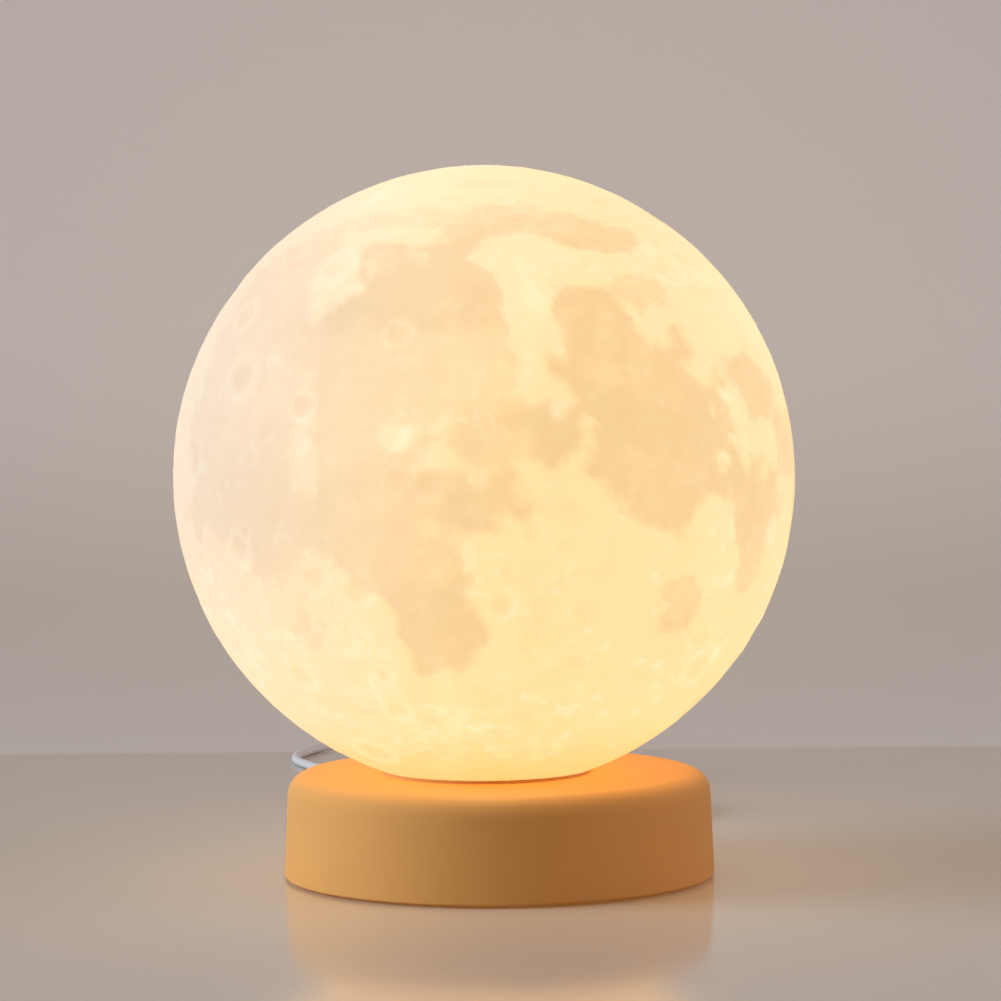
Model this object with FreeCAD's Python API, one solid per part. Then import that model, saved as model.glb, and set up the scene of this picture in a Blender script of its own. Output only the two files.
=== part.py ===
"""A moon lamp: a printed moon globe that stands loose on a round moulded base, on a thin supply lead.

Millimetres, +Z up. The origin is on the axis of the base, on the table that its rubber ring stands on.
The lead leaves the base at the back, +Y. The front is -Y.
"""
import FreeCAD, Part
import os
from math import cos, pi, radians, sin, sqrt, tan

from FreeCAD import Placement, Rotation, Vector

# ---- Driving sizes ----
# The globe
GLOBE_DIA = 180.0
GLOBE_WALL = 1.6
GLOBE_FLAT_DIA = 61.0      # the ring on which the printed shell is cut off flat
FLAT_WIDTH = 1.9           # of that ring, outside the bore for the mouth ring
GLOBE_OFFSET = -3.5        # along X: the globe stands loose, this far off the axis of the base
MOUTH_PLAY = 4.0           # how far the mouth of the globe can shift round the boss, to each side
MOUTH_FLANGE = 1.0         # the flange of the mouth ring, under the shell
MOUTH_RING_WALL = 1.4
MOUTH_RING_HEIGHT = 6.0
MOUTH_BEAD = 0.9           # the snap bead that holds the ring in the shell

# The moulded base
BASE_DIA = 125.0           # at its lower edge
BASE_HEIGHT = 29.7         # without the rubber ring under it
DRAFT = 2.6                # degrees
RIM_RADIUS = 6.0
COVER_WALL = 2.4
COVER_EDGE_RADIUS = 0.6
BOSS_WALL = 1.2            # the raised ring round the lens
BOSS_HEIGHT = 1.2
PLATE_THICK = 2.5
RIB_THICK = 1.4
RIB_DEPTH = 4.0
RIB_COUNT = 12

# The rubber ring that it stands on, and the screws
COVER_SCREW_INSET = 12.5   # in from the lower edge of the base
COVER_SCREW_COUNT = 4
FOOT_RING_GAP = 2.3        # in from the heads of those screws
FOOT_RING_WIDTH = 7.0
FOOT_RING_HEIGHT = 1.8
FOOT_PROUD = 0.8           # how far the ring lifts the base off the table
SCREW_DIA = 2.8
SCREW_HEAD_DIA = 5.4
SCREW_HEAD = 1.6
SMALL_SCREW_DIA = 1.8
SMALL_SCREW_HEAD_DIA = 3.4
SMALL_SCREW_HEAD = 1.2
PILLAR_WALL = 2.0          # plastic round each screw

# The steel weight
BALLAST_GAP = 4.6          # in from the pillars for the cover's screws
BALLAST_HOLE_DIA = 34.0
BALLAST_THICK = 5.0
BALLAST_SCREW_COUNT = 3

# The light
LENS_WALL = 1.6
LENS_FLANGE = 1.6
LENS_FLANGE_WIDTH = 2.8
LENS_RISE = 5.5            # the dome above the raised ring
REFLECTOR_HEIGHT = 4.5
REFLECTOR_EDGE = 2.0
LED_BOARD_DIA = 36.0
LED_BOARD_THICK = 1.6
LED_LENGTH = 3.5
LED_WIDTH = 2.8
LED_HEIGHT = 0.8
LED_RING_RADII = (5.6, 11.0)
LED_COUNTS = (4, 8)        # light chips on each ring
SPREADER_DIA = 66.0
SPREADER_THICK = 2.0
SPREADER_SCREW_COUNT = 3
WIRE_DIA = 1.2
WIRE_GAP = 3.4             # between the two wires, centre to centre

# The driver board
BOARD_LENGTH = 42.0
BOARD_WIDTH = 28.0
BOARD_THICK = 1.6
BOARD_CORNER = 2.0
BOARD_LIFT = 6.5           # its underside above the bottom plate
BOARD_SCREW_GAP = 22.0     # between its two screws
CONNECTOR = (7.4, 6.0, 4.4)
CHIP = (6.0, 5.0, 1.5)
INDUCTOR = (6.6, 6.6, 3.4)
INDUCTOR_CORNER = 1.2
CAPACITOR_DIA = 6.3
CAPACITOR_HEIGHT = 4.2

# The supply lead and its strain relief
LEAD_DIA = 3.0
EXIT_HEIGHT = 11.0
GLAND_FLANGE_DIA = 10.0
GLAND_FLANGE = 1.8
GLAND_NECK_DIA = 7.6
GLAND_LENGTH = 20.0        # the ribbed sleeve outside the flange
GLAND_TIP_DIA = 4.4
GLAND_ROOT_DIA = 7.0
GLAND_GROOVE_COUNT = 6
GLAND_GROOVE = 0.7         # depth of each groove

# The coil of the spare lead
COIL_X = 34.0
COIL_Y = 128.0
COIL_DIA = 48.0            # the outermost turn, along its centre line
COIL_PITCH = 3.5           # between neighbouring turns and between the two layers
COIL_HALF_TURNS = 7        # in each layer, apart from the half turn that climbs

# The switch in the lead
SWITCH_X = 26.0
SWITCH_Y = 222.0
SWITCH_HEADING = 108.0     # degrees, the way the lead runs through it
SWITCH_LENGTH = 46.0
SWITCH_WIDTH = 18.0
SWITCH_HEIGHT = 12.6
SWITCH_WALL = 1.6
SWITCH_SPLIT = 4.8         # level of the joint between its halves, and of the lead
SWITCH_CORNER = 4.0
SWITCH_ROUND = 1.2
NOZZLE_LENGTH = 5.0
NOZZLE_ROOT_DIA = 7.0
NOZZLE_TIP_DIA = 5.0
ROCKER_LENGTH = 14.4
ROCKER_WIDTH = 8.4
ROCKER_THROW = 8.0         # degrees to each side
ROCKER_DEPTH = 3.2         # below its axle
ROCKER_AXLE_DIA = 2.0
ROCKER_AXLE_DROP = 4.4     # the axle below the top of the case
ROCKER_PROUD = 0.4         # the hollow of the rocker above the case
EAR_WALL = 1.6
SWITCH_SCREW_GAP = 33.0
CONTACT_LENGTH = 6.0
CONTACT_WIDTH = 4.0
CONTACT_THICK = 0.6
CONTACT_HEIGHT = 1.9
CONTACT_GAP = 9.0

# The plug on its end
PLUG_X = 20.0
PLUG_Y = 312.0
PLUG_HEADING = 85.0
GRIP_LENGTH = 21.0
GRIP_WIDTH = 14.0
GRIP_HEIGHT = 7.8
GRIP_ROUND = 1.8
TAIL_LENGTH = 9.0
TAIL_ROOT_DIA = 6.4
TAIL_TIP_DIA = 4.4
TAIL_GROOVE_COUNT = 3
TAIL_GROOVE = 0.6
PLUG_SHELL = (12.0, 12.0, 4.5)       # length, width and height
PLUG_SHELL_WALL = 0.35
PLUG_WINDOW = 2.2
TONGUE_THICK = 1.8
PIN_WIDTH = 1.1
PIN_PITCH = 2.3
PIN_THICK = 0.25
PIN_COUNT = 4

# Clearances
RUN_CLEAR = 0.3            # round what moves or drops in
SCREW_CLEAR = 0.15         # round a screw's shank
SNUG = 0.2                 # round what is pressed or laid in
ROCKER_CLEAR = 0.6         # round the rocker, along the lead

# The free lead, by hand: from the strain relief, round a loop at the left, back to the coil.
# Each stretch also has a guide point straight ahead of the piece at each of its ends.
LEAD_GUIDE = 12.0
LEAD_TO_COIL = [
    (-1.5, 110.0, 5.6),
    (-5.0, 124.0, 1.5),
    (-11.0, 144.0, 1.5),
    (-20.0, 168.0, 1.5),
    (-34.0, 193.0, 1.5),
    (-50.0, 219.0, 1.5),
    (-66.0, 246.0, 1.5),
    (-75.5, 274.0, 1.5),
    (-67.0, 302.0, 1.5),
    (-56.0, 325.0, 1.5),
    (-36.0, 336.0, 1.5),
    (-14.0, 329.0, 1.5),
    (-2.0, 309.0, 1.5),
    (0.0, 283.0, 1.5),
    (-4.0, 256.0, 1.5),
    (-3.0, 228.0, 1.5),
    (3.0, 202.0, 1.5),
    (9.0, 177.0, 1.5),
]
LEAD_TO_SWITCH = [
    (57.0, 157.0, 1.6),
    (48.5, 171.0, 1.6),
]
LEAD_TO_PLUG = [
    (15.0, 270.0, 1.6),
]

# ---- Levels and radii that follow ----
Z_EDGE = FOOT_PROUD
Z_TOP = Z_EDGE + BASE_HEIGHT
Z_CEILING = Z_TOP - COVER_WALL
Z_FLOOR = Z_EDGE + PLATE_THICK
Z_BOARD = Z_FLOOR + BOARD_LIFT
Z_BOARD_TOP = Z_BOARD + BOARD_THICK
Z_FLANGE = Z_CEILING - LENS_FLANGE
Z_DECK = Z_FLANGE - REFLECTOR_HEIGHT
Z_LED_TOP = Z_DECK + LED_BOARD_THICK
R_GLOBE = GLOBE_DIA / 2
R_FLAT = GLOBE_FLAT_DIA / 2
R_RING = R_FLAT - FLAT_WIDTH
R_MOUTH = R_RING - MOUTH_RING_WALL
R_BOSS = R_MOUTH - MOUTH_PLAY
R_OPENING = R_BOSS - BOSS_WALL
R_LENS = R_OPENING - SNUG
R_FLANGE = R_LENS + LENS_FLANGE_WIDTH
Z_CUT = Z_TOP + MOUTH_FLANGE
Z_GLOBE = Z_CUT + sqrt(R_GLOBE ** 2 - R_FLAT ** 2)
R_PILLAR = SCREW_DIA / 2 + PILLAR_WALL
R_COVER_SCREWS = BASE_DIA / 2 - COVER_SCREW_INSET
R_FOOT = R_COVER_SCREWS - SCREW_HEAD_DIA / 2 - FOOT_RING_GAP
R_BALLAST = R_COVER_SCREWS - R_PILLAR - BALLAST_GAP
R_BALLAST_SCREWS = (R_BALLAST + BALLAST_HOLE_DIA / 2) / 2
R_DECK_SCREWS = R_FLANGE + SNUG + R_PILLAR
ROCKER_AXLE_Z = SWITCH_HEIGHT - ROCKER_AXLE_DROP


def wall_radius(z):
    """The outside of the base at a level, with its draft."""
    return BASE_DIA / 2 - (z - Z_EDGE) * tan(radians(DRAFT))


# ---- Small makers ----
def disc(radius, low, high, x=0.0, y=0.0):
    return Part.makeCylinder(radius, high - low, Vector(x, y, low))


def ring(inner, outer, low, high, x=0.0, y=0.0):
    return disc(outer, low, high, x, y).cut(disc(inner, low - 1, high + 1, x, y))


def block(length, width, low, high, x=0.0, y=0.0):
    """A box on its centre in plan."""
    return Part.makeBox(length, width, high - low, Vector(x - length / 2, y - width / 2, low))


def turned(profile):
    """A solid turned about Z from a closed outline of (radius, height) corners."""
    corners = [Vector(r, 0, z) for r, z in profile]
    outline = Part.makePolygon(corners + corners[:1])
    return Part.Face(outline).revolve(Vector(0, 0, 0), Vector(0, 0, 1), 360)


def around(count, radius, start=0.0):
    """Points evenly round a circle, with the angle of each."""
    for i in range(count):
        angle = start + 360.0 * i / count
        yield radius * cos(radians(angle)), radius * sin(radians(angle)), angle


def moved(shape, x=0.0, y=0.0, z=0.0, heading=0.0):
    """A copy turned about Z and then moved."""
    copy = shape.copy()
    copy.Placement = Placement(Vector(x, y, z), Rotation(Vector(0, 0, 1), heading)).multiply(shape.Placement)
    return copy


def rim_edges(shape, level, least=0.0):
    """The round edges that lie flat at a level, of at least a radius."""
    found = []
    for edge in shape.Edges:
        flat = abs(edge.BoundBox.ZMin - level) < 0.01 and abs(edge.BoundBox.ZMax - level) < 0.01
        if flat and edge.Curve.TypeId == "Part::GeomCircle" and edge.Curve.Radius > least:
            found.append(edge)
    return found


def level_edges(shape, level):
    return [e for e in shape.Edges if abs(e.BoundBox.ZMin - level) < 0.01 and e.BoundBox.ZLength < 0.01]


def upright_edges(shape):
    return [e for e in shape.Edges if e.BoundBox.ZLength > 0.01 and e.BoundBox.XLength < 0.01
            and e.BoundBox.YLength < 0.01]


def screw(x, y, seat, length, dia, head_dia, head, up):
    """A pan-headed screw. Its head lies against the seat, and its shank runs up or down from there."""
    way = 1 if up else -1
    tip = dia * 0.4
    profile = [
        (0, -head * way),
        (head_dia * 0.38, -head * way),
        (head_dia / 2, -head * 0.45 * way),
        (head_dia / 2, 0),
        (dia / 2, 0),
        (dia / 2, (length - tip) * way),
        (0, length * way),
    ]
    return moved(turned(profile), x, y, seat)


def grooved_cone(root_dia, tip_dia, length, grooves, depth):
    """A tapered sleeve along +Z with round grooves, as on a moulded strain relief."""
    profile = [(0, 0), (root_dia / 2, 0)]
    step = length / (2 * grooves + 1)
    for i in range(1, 2 * grooves + 1):
        here = root_dia / 2 + (tip_dia - root_dia) / 2 * i * step / length
        sunk = here - depth
        profile += [(here, i * step), (sunk, i * step)] if i % 2 else [(sunk, i * step), (here, i * step)]
    profile += [(tip_dia / 2, length), (0, length)]
    return turned(profile)


def along(shape, x, y, z, direction):
    """A copy of a piece made along +Z, turned to a direction."""
    copy = shape.copy()
    copy.Placement = Placement(Vector(x, y, z), Rotation(Vector(0, 0, 1), Vector(*direction)))
    return copy


# ---- Leads ----
def bent_path(points):
    """Straight runs joined by tangent arcs, each as large as the runs beside it allow."""
    points = [Vector(*p) for p in points]
    edges = []
    radii = []
    start = points[0]
    for before, here, after in zip(points, points[1:], points[2:]):
        into = (here - before).normalize()
        out = (after - here).normalize()
        half = into.getAngle(out) / 2
        trim = 0.45 * min((here - before).Length, (after - here).Length)
        radius = trim / tan(half)
        first = here - into * trim
        last = here + out * trim
        inward = (out - into).normalize()
        middle = here + inward * (radius / cos(half) - radius)
        edges.append(Part.LineSegment(start, first).toShape())
        edges.append(Part.Arc(first, middle, last).toShape())
        radii.append(radius)
        start = last
    edges.append(Part.LineSegment(start, points[-1]).toShape())
    return Part.Wire(edges), radii


def tube(path, dia):
    """A round solid along a path."""
    first = path.OrderedEdges[0]
    at = first.valueAt(first.FirstParameter)
    ahead = first.tangentAt(first.FirstParameter)
    section = Part.Wire([Part.Circle(at, ahead, dia / 2).toShape()])
    return path.makePipeShell([section], True, False)


def lead(name, start, points, end):
    """A free stretch of the lead between two ends, with its bends and its volume printed.

    Each end is a place and the direction that its piece points, and the lead leaves it straight.
    """
    guides = [place + Vector(*way).normalize() * LEAD_GUIDE for place, way in (start, end)]
    path, radii = bent_path([start[0], guides[0], *points, guides[1], end[0]])
    solid = tube(path, LEAD_DIA)
    share = solid.Volume / (pi * LEAD_DIA ** 2 / 4 * path.Length)
    print(f"{name}: {path.Length:.0f} mm long, least bend {min(radii):.1f} mm,"
          f" volume {share:.4f} of its section")
    return solid, path.Length


def coil_turns():
    """The half circles of the coil: in along the lower layer, one that climbs, and out along the upper.

    The turns run anticlockwise and start at the left. All lower halves share one centre, and all upper
    halves another, half a pitch away, so that each half circle runs on smoothly from the last.
    """
    sink = LEAD_DIA / 2
    radius = COIL_DIA / 2
    step = COIL_PITCH / 2
    x = COIL_X - radius
    heights = [sink] * (COIL_HALF_TURNS + 1) + [sink + COIL_PITCH] * (COIL_HALF_TURNS + 1)
    radii = [radius - step * i for i in range(COIL_HALF_TURNS + 1)]
    radii += radii[-2::-1]
    points = [Vector(x, COIL_Y, heights[0])]
    arcs = []
    for i, r in enumerate(radii):
        side = -1 if i % 2 == 0 else 1
        start = points[-1]
        end = Vector(start.x - 2 * r * side, COIL_Y, heights[i + 1])
        half_chord = (end - start).Length / 2
        middle = (start + end) * 0.5 + Vector(0, side * half_chord, 0)
        arcs.append(Part.Arc(start, middle, end).toShape())
        points.append(end)
    return points[0], points[-1], arcs


COIL_START, COIL_END, COIL_ARCS = coil_turns()
COIL_LEAD_IN = COIL_START + Vector(0, LEAD_DIA, 0)
COIL_LEAD_OUT = COIL_END + Vector(0, LEAD_DIA, 0)


def least_gap(edges, dia, step=2.0):
    """The least clear distance of a tube from itself, measured on points along it."""
    spots = []
    run = 0.0
    for edge in edges:
        count = max(2, int(edge.Length / step))
        for i, point in enumerate(edge.discretize(count + 1)[:-1]):
            spots.append((run + edge.Length * i / count, point))
        run += edge.Length
    far = pi * dia * 2
    return min(
        a.distanceToPoint(b) for s, a in spots for t, b in spots if t - s > far
    ) - dia


def lead_coil():
    """The spare lead, wound into a neat round coil of two layers."""
    edges = [Part.LineSegment(COIL_LEAD_IN, COIL_START).toShape()]
    edges += COIL_ARCS
    edges.append(Part.LineSegment(COIL_END, COIL_LEAD_OUT).toShape())
    path = Part.Wire(edges)
    tightest = min(arc.Curve.Radius for arc in COIL_ARCS)
    print(f"lead_coil: {path.Length:.0f} mm long, least bend {tightest:.1f} mm,"
          f" least gap to itself {least_gap(edges, LEAD_DIA):.2f} mm")
    return tube(path, LEAD_DIA), path.Length


# ---- Globe ----
def globe_shell():
    """The printed moon: a thin sphere, cut off flat below, with a bore for the mouth ring."""
    centre = Vector(GLOBE_OFFSET, 0, Z_GLOBE)
    shell = Part.makeSphere(R_GLOBE, centre).cut(Part.makeSphere(R_GLOBE - GLOBE_WALL, centre))
    shell = shell.cut(disc(R_GLOBE, Z_CUT - R_GLOBE, Z_CUT, GLOBE_OFFSET))
    return shell.cut(disc(R_RING + SNUG, Z_CUT - 1, Z_GLOBE, GLOBE_OFFSET))


def mouth_ring():
    """The ring pressed into the mouth of the globe. Its flange is what stands on the base."""
    inner = R_GLOBE - GLOBE_WALL
    over = Z_GLOBE - sqrt(inner ** 2 - (R_RING + MOUTH_BEAD) ** 2) + RUN_CLEAR
    flange = R_FLAT - RUN_CLEAR
    top = max(Z_CUT + MOUTH_RING_HEIGHT, over + 2 * MOUTH_BEAD)
    profile = [
        (R_MOUTH, Z_TOP),
        (flange, Z_TOP),
        (flange, Z_CUT),
        (R_RING, Z_CUT),
        (R_RING, over),
        (R_RING + MOUTH_BEAD, over),
        (R_RING, over + 2 * MOUTH_BEAD),
        (R_RING, top),
        (R_MOUTH, top),
    ]
    return moved(turned(profile), GLOBE_OFFSET)


# ---- Base housing ----
def cover_blank(inset, low, high, round_radius):
    """A drafted round block with a rounded upper rim, set in from the outside of the base."""
    body = turned([
        (0, low),
        (wall_radius(low) - inset, low),
        (wall_radius(high) - inset, high),
        (0, high),
    ])
    return body.makeFillet(round_radius, rim_edges(body, high))


def cover_pillars():
    """Screw pillars down to the bottom plate, each with a web to the side wall, and three for the light."""
    parts = []
    for x, y, angle in around(COVER_SCREW_COUNT, R_COVER_SCREWS, 45):
        reach = wall_radius(Z_CEILING) - COVER_WALL / 2 - R_COVER_SCREWS
        web = Part.makeBox(reach, RIB_THICK, Z_CEILING - Z_FLOOR, Vector(0, -RIB_THICK / 2, Z_FLOOR))
        parts.append(disc(R_PILLAR, Z_FLOOR, Z_CEILING + COVER_WALL / 2, x, y))
        parts.append(moved(web, x, y, 0, angle))
    for x, y, angle in around(SPREADER_SCREW_COUNT, R_DECK_SCREWS, 90):
        parts.append(disc(R_PILLAR, Z_DECK, Z_CEILING + COVER_WALL / 2, x, y))
    return parts


def cover_ribs():
    """Stiffening ribs under the top, from a ring round the light out to the side wall."""
    inner = R_DECK_SCREWS + R_PILLAR + RUN_CLEAR
    outer = wall_radius(Z_CEILING) - COVER_WALL / 2 - RIM_RADIUS / 2
    parts = [ring(inner, inner + RIB_THICK, Z_CEILING - RIB_DEPTH, Z_CEILING + COVER_WALL / 2)]
    for x, y, angle in around(RIB_COUNT, inner + RIB_THICK / 2, 180 / RIB_COUNT):
        corner = Vector(0, -RIB_THICK / 2, Z_CEILING - RIB_DEPTH)
        rib = Part.makeBox(outer - inner, RIB_THICK, RIB_DEPTH + COVER_WALL / 2, corner)
        parts.append(moved(rib, x, y, 0, angle))
    return parts


def base_cover():
    """The moulded housing: drafted wall, rounded rim, opening with a raised ring, pillars and ribs."""
    cover = cover_blank(0, Z_EDGE, Z_TOP, RIM_RADIUS)
    cover = cover.makeFillet(COVER_EDGE_RADIUS, rim_edges(cover, Z_EDGE))
    cover = cover.cut(cover_blank(COVER_WALL, Z_EDGE - 1, Z_CEILING, RIM_RADIUS - COVER_WALL / 2))
    cover = cover.fuse([disc(R_BOSS, Z_CEILING, Z_TOP + BOSS_HEIGHT)] + cover_pillars() + cover_ribs())
    cover = cover.cut(disc(R_OPENING, Z_CEILING - 1, Z_TOP + BOSS_HEIGHT + 1))
    for x, y, angle in around(COVER_SCREW_COUNT, R_COVER_SCREWS, 45):
        cover = cover.cut(disc(SCREW_DIA / 2 + SCREW_CLEAR, Z_FLOOR - 1, Z_CEILING - COVER_WALL, x, y))
    for x, y, angle in around(SPREADER_SCREW_COUNT, R_DECK_SCREWS, 90):
        cover = cover.cut(disc(SCREW_DIA / 2 + SCREW_CLEAR, Z_DECK - 1, Z_CEILING, x, y))
    exit_hole = Part.makeCylinder(
        GLAND_NECK_DIA / 2 + SNUG, BASE_DIA / 2, Vector(0, BASE_DIA / 4, EXIT_HEIGHT), Vector(0, 1, 0)
    )
    return cover.cut(exit_hole).removeSplitter()


def bottom_plate():
    """The plate that closes the base, with a groove for the rubber ring and posts for the driver board."""
    plate = disc(wall_radius(Z_FLOOR) - COVER_WALL - RUN_CLEAR, Z_EDGE, Z_FLOOR)
    posts = [
        disc(SMALL_SCREW_DIA / 2 + PILLAR_WALL, Z_EDGE + PLATE_THICK / 2, Z_BOARD, side * BOARD_SCREW_GAP / 2)
        for side in (-1, 1)
    ]
    plate = plate.fuse(posts)
    for side in (-1, 1):
        plate = plate.cut(disc(SMALL_SCREW_DIA / 2 + SCREW_CLEAR, Z_FLOOR, Z_BOARD + 1,
                               side * BOARD_SCREW_GAP / 2))
    groove_inner = R_FOOT - FOOT_RING_WIDTH - SNUG
    plate = plate.cut(ring(groove_inner, R_FOOT + SNUG, Z_EDGE - 1, FOOT_RING_HEIGHT))
    for x, y, angle in around(COVER_SCREW_COUNT, R_COVER_SCREWS, 45):
        plate = plate.cut(disc(SCREW_DIA / 2 + SCREW_CLEAR, Z_EDGE - 1, Z_FLOOR + 1, x, y))
        plate = plate.cut(disc(SCREW_HEAD_DIA / 2 + SNUG, Z_EDGE - 1, Z_EDGE + SCREW_HEAD + SNUG, x, y))
    for x, y, angle in around(BALLAST_SCREW_COUNT, R_BALLAST_SCREWS, 90):
        plate = plate.cut(disc(SCREW_DIA / 2 + SCREW_CLEAR, Z_EDGE + PLATE_THICK * 0.2, Z_FLOOR + 1, x, y))
    return plate


def rubber_ring():
    """The non-slip ring, set in a groove under the plate."""
    foot = ring(R_FOOT - FOOT_RING_WIDTH, R_FOOT, 0, FOOT_RING_HEIGHT)
    return foot.makeFillet(FOOT_PROUD / 2, rim_edges(foot, 0))


def cover_screws():
    seat = Z_EDGE + SCREW_HEAD + SNUG
    length = (Z_CEILING - Z_FLOOR) * 0.5
    return [
        screw(x, y, seat, length, SCREW_DIA, SCREW_HEAD_DIA, SCREW_HEAD, True)
        for x, y, angle in around(COVER_SCREW_COUNT, R_COVER_SCREWS, 45)
    ]


def ballast_ring():
    """The steel weight on the bottom plate, with a clear middle for the driver board's posts."""
    weight = ring(BALLAST_HOLE_DIA / 2, R_BALLAST, Z_FLOOR, Z_FLOOR + BALLAST_THICK)
    for x, y, angle in around(BALLAST_SCREW_COUNT, R_BALLAST_SCREWS, 90):
        weight = weight.cut(disc(SCREW_DIA / 2 + SCREW_CLEAR, Z_FLOOR - 1, Z_FLOOR + BALLAST_THICK + 1, x, y))
    return weight


def ballast_screws():
    seat = Z_FLOOR + BALLAST_THICK
    length = BALLAST_THICK + PLATE_THICK * 0.75
    return [
        screw(x, y, seat, length, SCREW_DIA, SCREW_HEAD_DIA, SCREW_HEAD, False)
        for x, y, angle in around(BALLAST_SCREW_COUNT, R_BALLAST_SCREWS, 90)
    ]


# ---- Light ----
def dome(radius, rise, low):
    """A solid cap of a sphere, with its flat side down at a level."""
    ball = (radius ** 2 + rise ** 2) / (2 * rise)
    sphere = Part.makeSphere(ball, Vector(0, 0, low + rise - ball))
    return sphere.common(disc(ball, low, low + rise + 1))


def lens():
    """The frosted light window: a flange under the cover, a neck through it, and a low dome above."""
    shoulder = Z_TOP + BOSS_HEIGHT
    solid = disc(R_FLANGE, Z_FLANGE, Z_CEILING).fuse(
        [disc(R_LENS, Z_FLANGE, shoulder), dome(R_LENS, LENS_RISE, shoulder)]
    )
    hollow = disc(R_LENS - LENS_WALL, Z_FLANGE - 1, shoulder).fuse(
        dome(R_LENS - LENS_WALL, LENS_RISE - LENS_WALL, shoulder)
    )
    return solid.cut(hollow).removeSplitter()


def reflector_ring():
    """The white cone round the light chips. It stands on the heat spreader and holds the lens up."""
    foot = LED_BOARD_DIA / 2 + RUN_CLEAR
    mouth = R_LENS - LENS_WALL
    return turned([
        (foot, Z_DECK),
        (R_FLANGE, Z_DECK),
        (R_FLANGE, Z_FLANGE),
        (mouth, Z_FLANGE),
        (foot, Z_DECK + REFLECTOR_EDGE),
    ])


def led_board():
    board = disc(LED_BOARD_DIA / 2, Z_DECK, Z_LED_TOP)
    for side in (-1, 1):
        board = board.cut(disc(WIRE_DIA / 2 + SNUG, Z_DECK - 1, Z_LED_TOP + 1, side * WIRE_GAP / 2))
        board = board.cut(disc(SMALL_SCREW_DIA / 2 + SCREW_CLEAR, Z_DECK - 1, Z_LED_TOP + 1,
                               0, side * led_screw_radius()))
    return board


def led_screw_radius():
    return LED_BOARD_DIA / 2 - SMALL_SCREW_HEAD_DIA / 2 - SNUG


def led_chips():
    """The light chips, in two rings turned so that none lies at a screw."""
    chips = []
    for radius, count in zip(LED_RING_RADII, LED_COUNTS):
        for x, y, angle in around(count, radius, 180.0 / count):
            chips.append(moved(block(LED_WIDTH, LED_LENGTH, 0, LED_HEIGHT), x, y, Z_LED_TOP, angle))
    return chips


def led_board_screws():
    return [
        screw(0, side * led_screw_radius(), Z_LED_TOP, LED_BOARD_THICK + SPREADER_THICK,
              SMALL_SCREW_DIA, SMALL_SCREW_HEAD_DIA, SMALL_SCREW_HEAD, False)
        for side in (-1, 1)
    ]


def heat_spreader():
    """The aluminium plate that the light board is screwed to, on three pillars of the cover."""
    low = Z_DECK - SPREADER_THICK
    radius = max(SPREADER_DIA / 2, R_DECK_SCREWS + R_PILLAR)
    plate = disc(radius, low, Z_DECK)
    plate = plate.cut(disc(WIRE_GAP, low - 1, Z_DECK + 1))
    for side in (-1, 1):
        plate = plate.cut(disc(SMALL_SCREW_DIA / 2 + SCREW_CLEAR, low - 1, Z_DECK + 1, 0,
                               side * led_screw_radius()))
    for x, y, angle in around(SPREADER_SCREW_COUNT, R_DECK_SCREWS, 90):
        plate = plate.cut(disc(SCREW_DIA / 2 + SCREW_CLEAR, low - 1, Z_DECK + 1, x, y))
    return plate


def spreader_screws():
    seat = Z_DECK - SPREADER_THICK
    length = SPREADER_THICK + (Z_CEILING - Z_DECK) * 0.8
    return [
        screw(x, y, seat, length, SCREW_DIA, SCREW_HEAD_DIA, SCREW_HEAD, True)
        for x, y, angle in around(SPREADER_SCREW_COUNT, R_DECK_SCREWS, 90)
    ]


def led_wires():
    """The two wires from the driver board up through the spreader to the light board."""
    top = Z_LED_TOP + LED_HEIGHT / 2
    return [disc(WIRE_DIA / 2, Z_BOARD_TOP, top, side * WIRE_GAP / 2) for side in (-1, 1)]


# ---- Driver board ----
def on_board(size, x, y, corner=0.0):
    """A square-cornered or rounded block on the driver board."""
    part = block(size[0], size[1], Z_BOARD_TOP, Z_BOARD_TOP + size[2], x, y)
    return part.makeFillet(corner, upright_edges(part)) if corner else part


def driver_board():
    board = block(BOARD_LENGTH, BOARD_WIDTH, Z_BOARD, Z_BOARD_TOP)
    board = board.makeFillet(BOARD_CORNER, upright_edges(board))
    for side in (-1, 1):
        board = board.cut(disc(SMALL_SCREW_DIA / 2 + SCREW_CLEAR, Z_BOARD - 1, Z_BOARD_TOP + 1,
                               side * BOARD_SCREW_GAP / 2))
    return board


def driver_board_screws():
    return [
        screw(side * BOARD_SCREW_GAP / 2, 0, Z_BOARD_TOP, BOARD_THICK + BOARD_LIFT * 0.8,
              SMALL_SCREW_DIA, SMALL_SCREW_HEAD_DIA, SMALL_SCREW_HEAD, False)
        for side in (-1, 1)
    ]


def connector_at():
    """Where the supply connector stands: at the back edge of the board."""
    return 0.0, BOARD_WIDTH / 2 - CONNECTOR[1] / 2


def driver_capacitor():
    x = -BOARD_LENGTH / 2 + CAPACITOR_DIA
    y = BOARD_WIDTH / 2 - CAPACITOR_DIA
    can = disc(CAPACITOR_DIA / 2, Z_BOARD_TOP, Z_BOARD_TOP + CAPACITOR_HEIGHT, x, y)
    return can.makeFillet(0.5, rim_edges(can, Z_BOARD_TOP + CAPACITOR_HEIGHT))


def driver_inductor():
    x = BOARD_LENGTH / 2 - INDUCTOR[0]
    y = BOARD_WIDTH / 2 - INDUCTOR[1]
    return on_board(INDUCTOR, x, y, INDUCTOR_CORNER)


def driver_chip():
    return on_board(CHIP, 0.0, -BOARD_WIDTH / 2 + CHIP[1])


def supply_connector():
    return on_board(CONNECTOR, *connector_at())


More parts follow.
